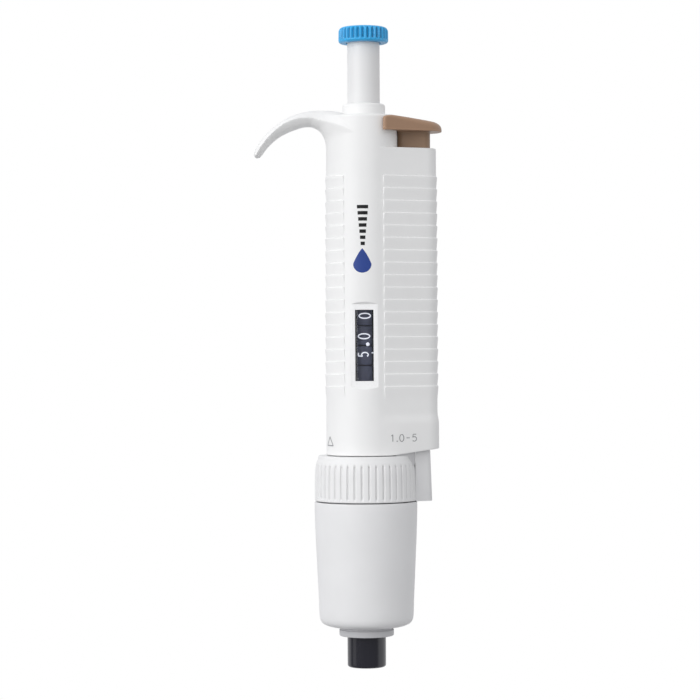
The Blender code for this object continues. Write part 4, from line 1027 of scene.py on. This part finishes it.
def make_camera():
    data = bpy.data.cameras.new("camera")
    data.lens = LENS
    data.sensor_width = 36.0
    data.clip_start, data.clip_end = 0.05, 20.0
    camera = bpy.data.objects.new("camera", data)
    bpy.context.scene.collection.objects.link(camera)
    side, back = -AXIS_OFFSET * MM, -DISTANCE * MM
    cos, sin = math.cos(CAMERA_TURN), math.sin(CAMERA_TURN)
    camera.location = (side * cos - back * sin, side * sin + back * cos, AIM_Z * MM)
    turn = Matrix.Rotation(CAMERA_TURN, 3, "Z") @ Matrix.Rotation(math.pi / 2, 3, "X")
    camera.rotation_euler = (turn @ Matrix.Rotation(CAMERA_ROLL, 3, "Z")).to_euler()
    bpy.context.scene.camera = camera


def area_light(name, place, size, power, mirrored=True, aim=(0.0, 0.0, 0.12)):
    data = bpy.data.lights.new(name, "AREA")
    data.shape = "RECTANGLE"
    data.size, data.size_y = size
    data.energy = power
    lamp = bpy.data.objects.new(name, data)
    bpy.context.scene.collection.objects.link(lamp)
    lamp.location = place
    direction = Vector(aim) - Vector(place)
    lamp.rotation_euler = direction.to_track_quat("-Z", "Y").to_euler()
    lamp.visible_glossy = mirrored


def make_world():
    """White to the camera; where it lights the object, brightest overhead to the left and dim
    below, and for reflections dark but for a bright wall behind to the right."""
    world = bpy.data.worlds.new("studio")
    bpy.context.scene.world = world
    world.use_nodes = True
    tree = world.node_tree
    sky = tree.nodes["Background"]
    sky.inputs["Color"].default_value = (1.0, 1.0, 1.0, 1.0)
    sky.inputs["Strength"].default_value = 1.0
    where = tree.nodes.new("ShaderNodeTexCoord")
    path = tree.nodes.new("ShaderNodeLightPath")

    def along(direction, low, high, dim, bright):
        dot = tree.nodes.new("ShaderNodeVectorMath")
        dot.operation = "DOT_PRODUCT"
        dot.inputs[1].default_value = direction
        tree.links.new(where.outputs["Generated"], dot.inputs[0])
        ramp = tree.nodes.new("ShaderNodeMapRange")
        for socket, value in zip(("From Min", "From Max", "To Min", "To Max"), (low, high, dim, bright)):
            ramp.inputs[socket].default_value = value
        tree.links.new(dot.outputs["Value"], ramp.inputs["Value"])
        return ramp.outputs["Result"]

    strength = tree.nodes.new("ShaderNodeMix")
    tree.links.new(path.outputs["Is Glossy Ray"], strength.inputs["Factor"])
    tree.links.new(along((-0.26, 0.0, 1.0), -1.0, 1.0, WORLD_LOW, WORLD_HIGH), strength.inputs["A"])
    tree.links.new(along((0.309, 0.951, 0.0), -0.09, 0.16, 0.24, 0.85), strength.inputs["B"])
    fill = tree.nodes.new("ShaderNodeBackground")
    fill.inputs["Color"].default_value = (0.975, 0.98, 1.0, 1.0)
    tree.links.new(strength.outputs["Result"], fill.inputs["Strength"])
    mix = tree.nodes.new("ShaderNodeMixShader")
    tree.links.new(path.outputs["Is Camera Ray"], mix.inputs["Fac"])
    tree.links.new(fill.outputs["Background"], mix.inputs[1])
    tree.links.new(sky.outputs["Background"], mix.inputs[2])
    tree.links.new(mix.outputs["Shader"], tree.nodes["World Output"].inputs["Surface"])


def make_floor():
    mesh = bpy.data.meshes.new("floor")
    mesh.from_pydata([(-1.2, -1.2, -0.3), (1.2, -1.2, -0.3), (1.2, 1.2, -0.3), (-1.2, 1.2, -0.3)], [],
                     [(0, 1, 2, 3)])
    floor = bpy.data.objects.new("floor", mesh)
    bpy.context.scene.collection.objects.link(floor)
    made, tree, shader = shader_nodes("floor_white")  # glows a flat white and lights nothing
    shader.inputs["Base Color"].default_value = (0.0, 0.0, 0.0, 1.0)
    shader.inputs["Emission Color"].default_value = (1.0, 1.0, 1.0, 1.0)
    shader.inputs["Emission Strength"].default_value = 1.0
    shader.inputs["Specular IOR Level"].default_value = 0.0
    mesh.materials.append(made)
    floor.visible_diffuse = False
    floor.visible_glossy = False


make_camera()
make_world()
make_floor()
area_light("key", (-0.85, -0.92, 0.55), (0.9, 1.1), 7.2)
area_light("side", (-1.10, -0.25, 0.30), (0.5, 1.2), 0.8)
area_light("front", (0.25, -1.25, 0.35), (0.7, 0.9), 1.9, False)
bpy.context.scene.view_settings.view_transform = "Standard"
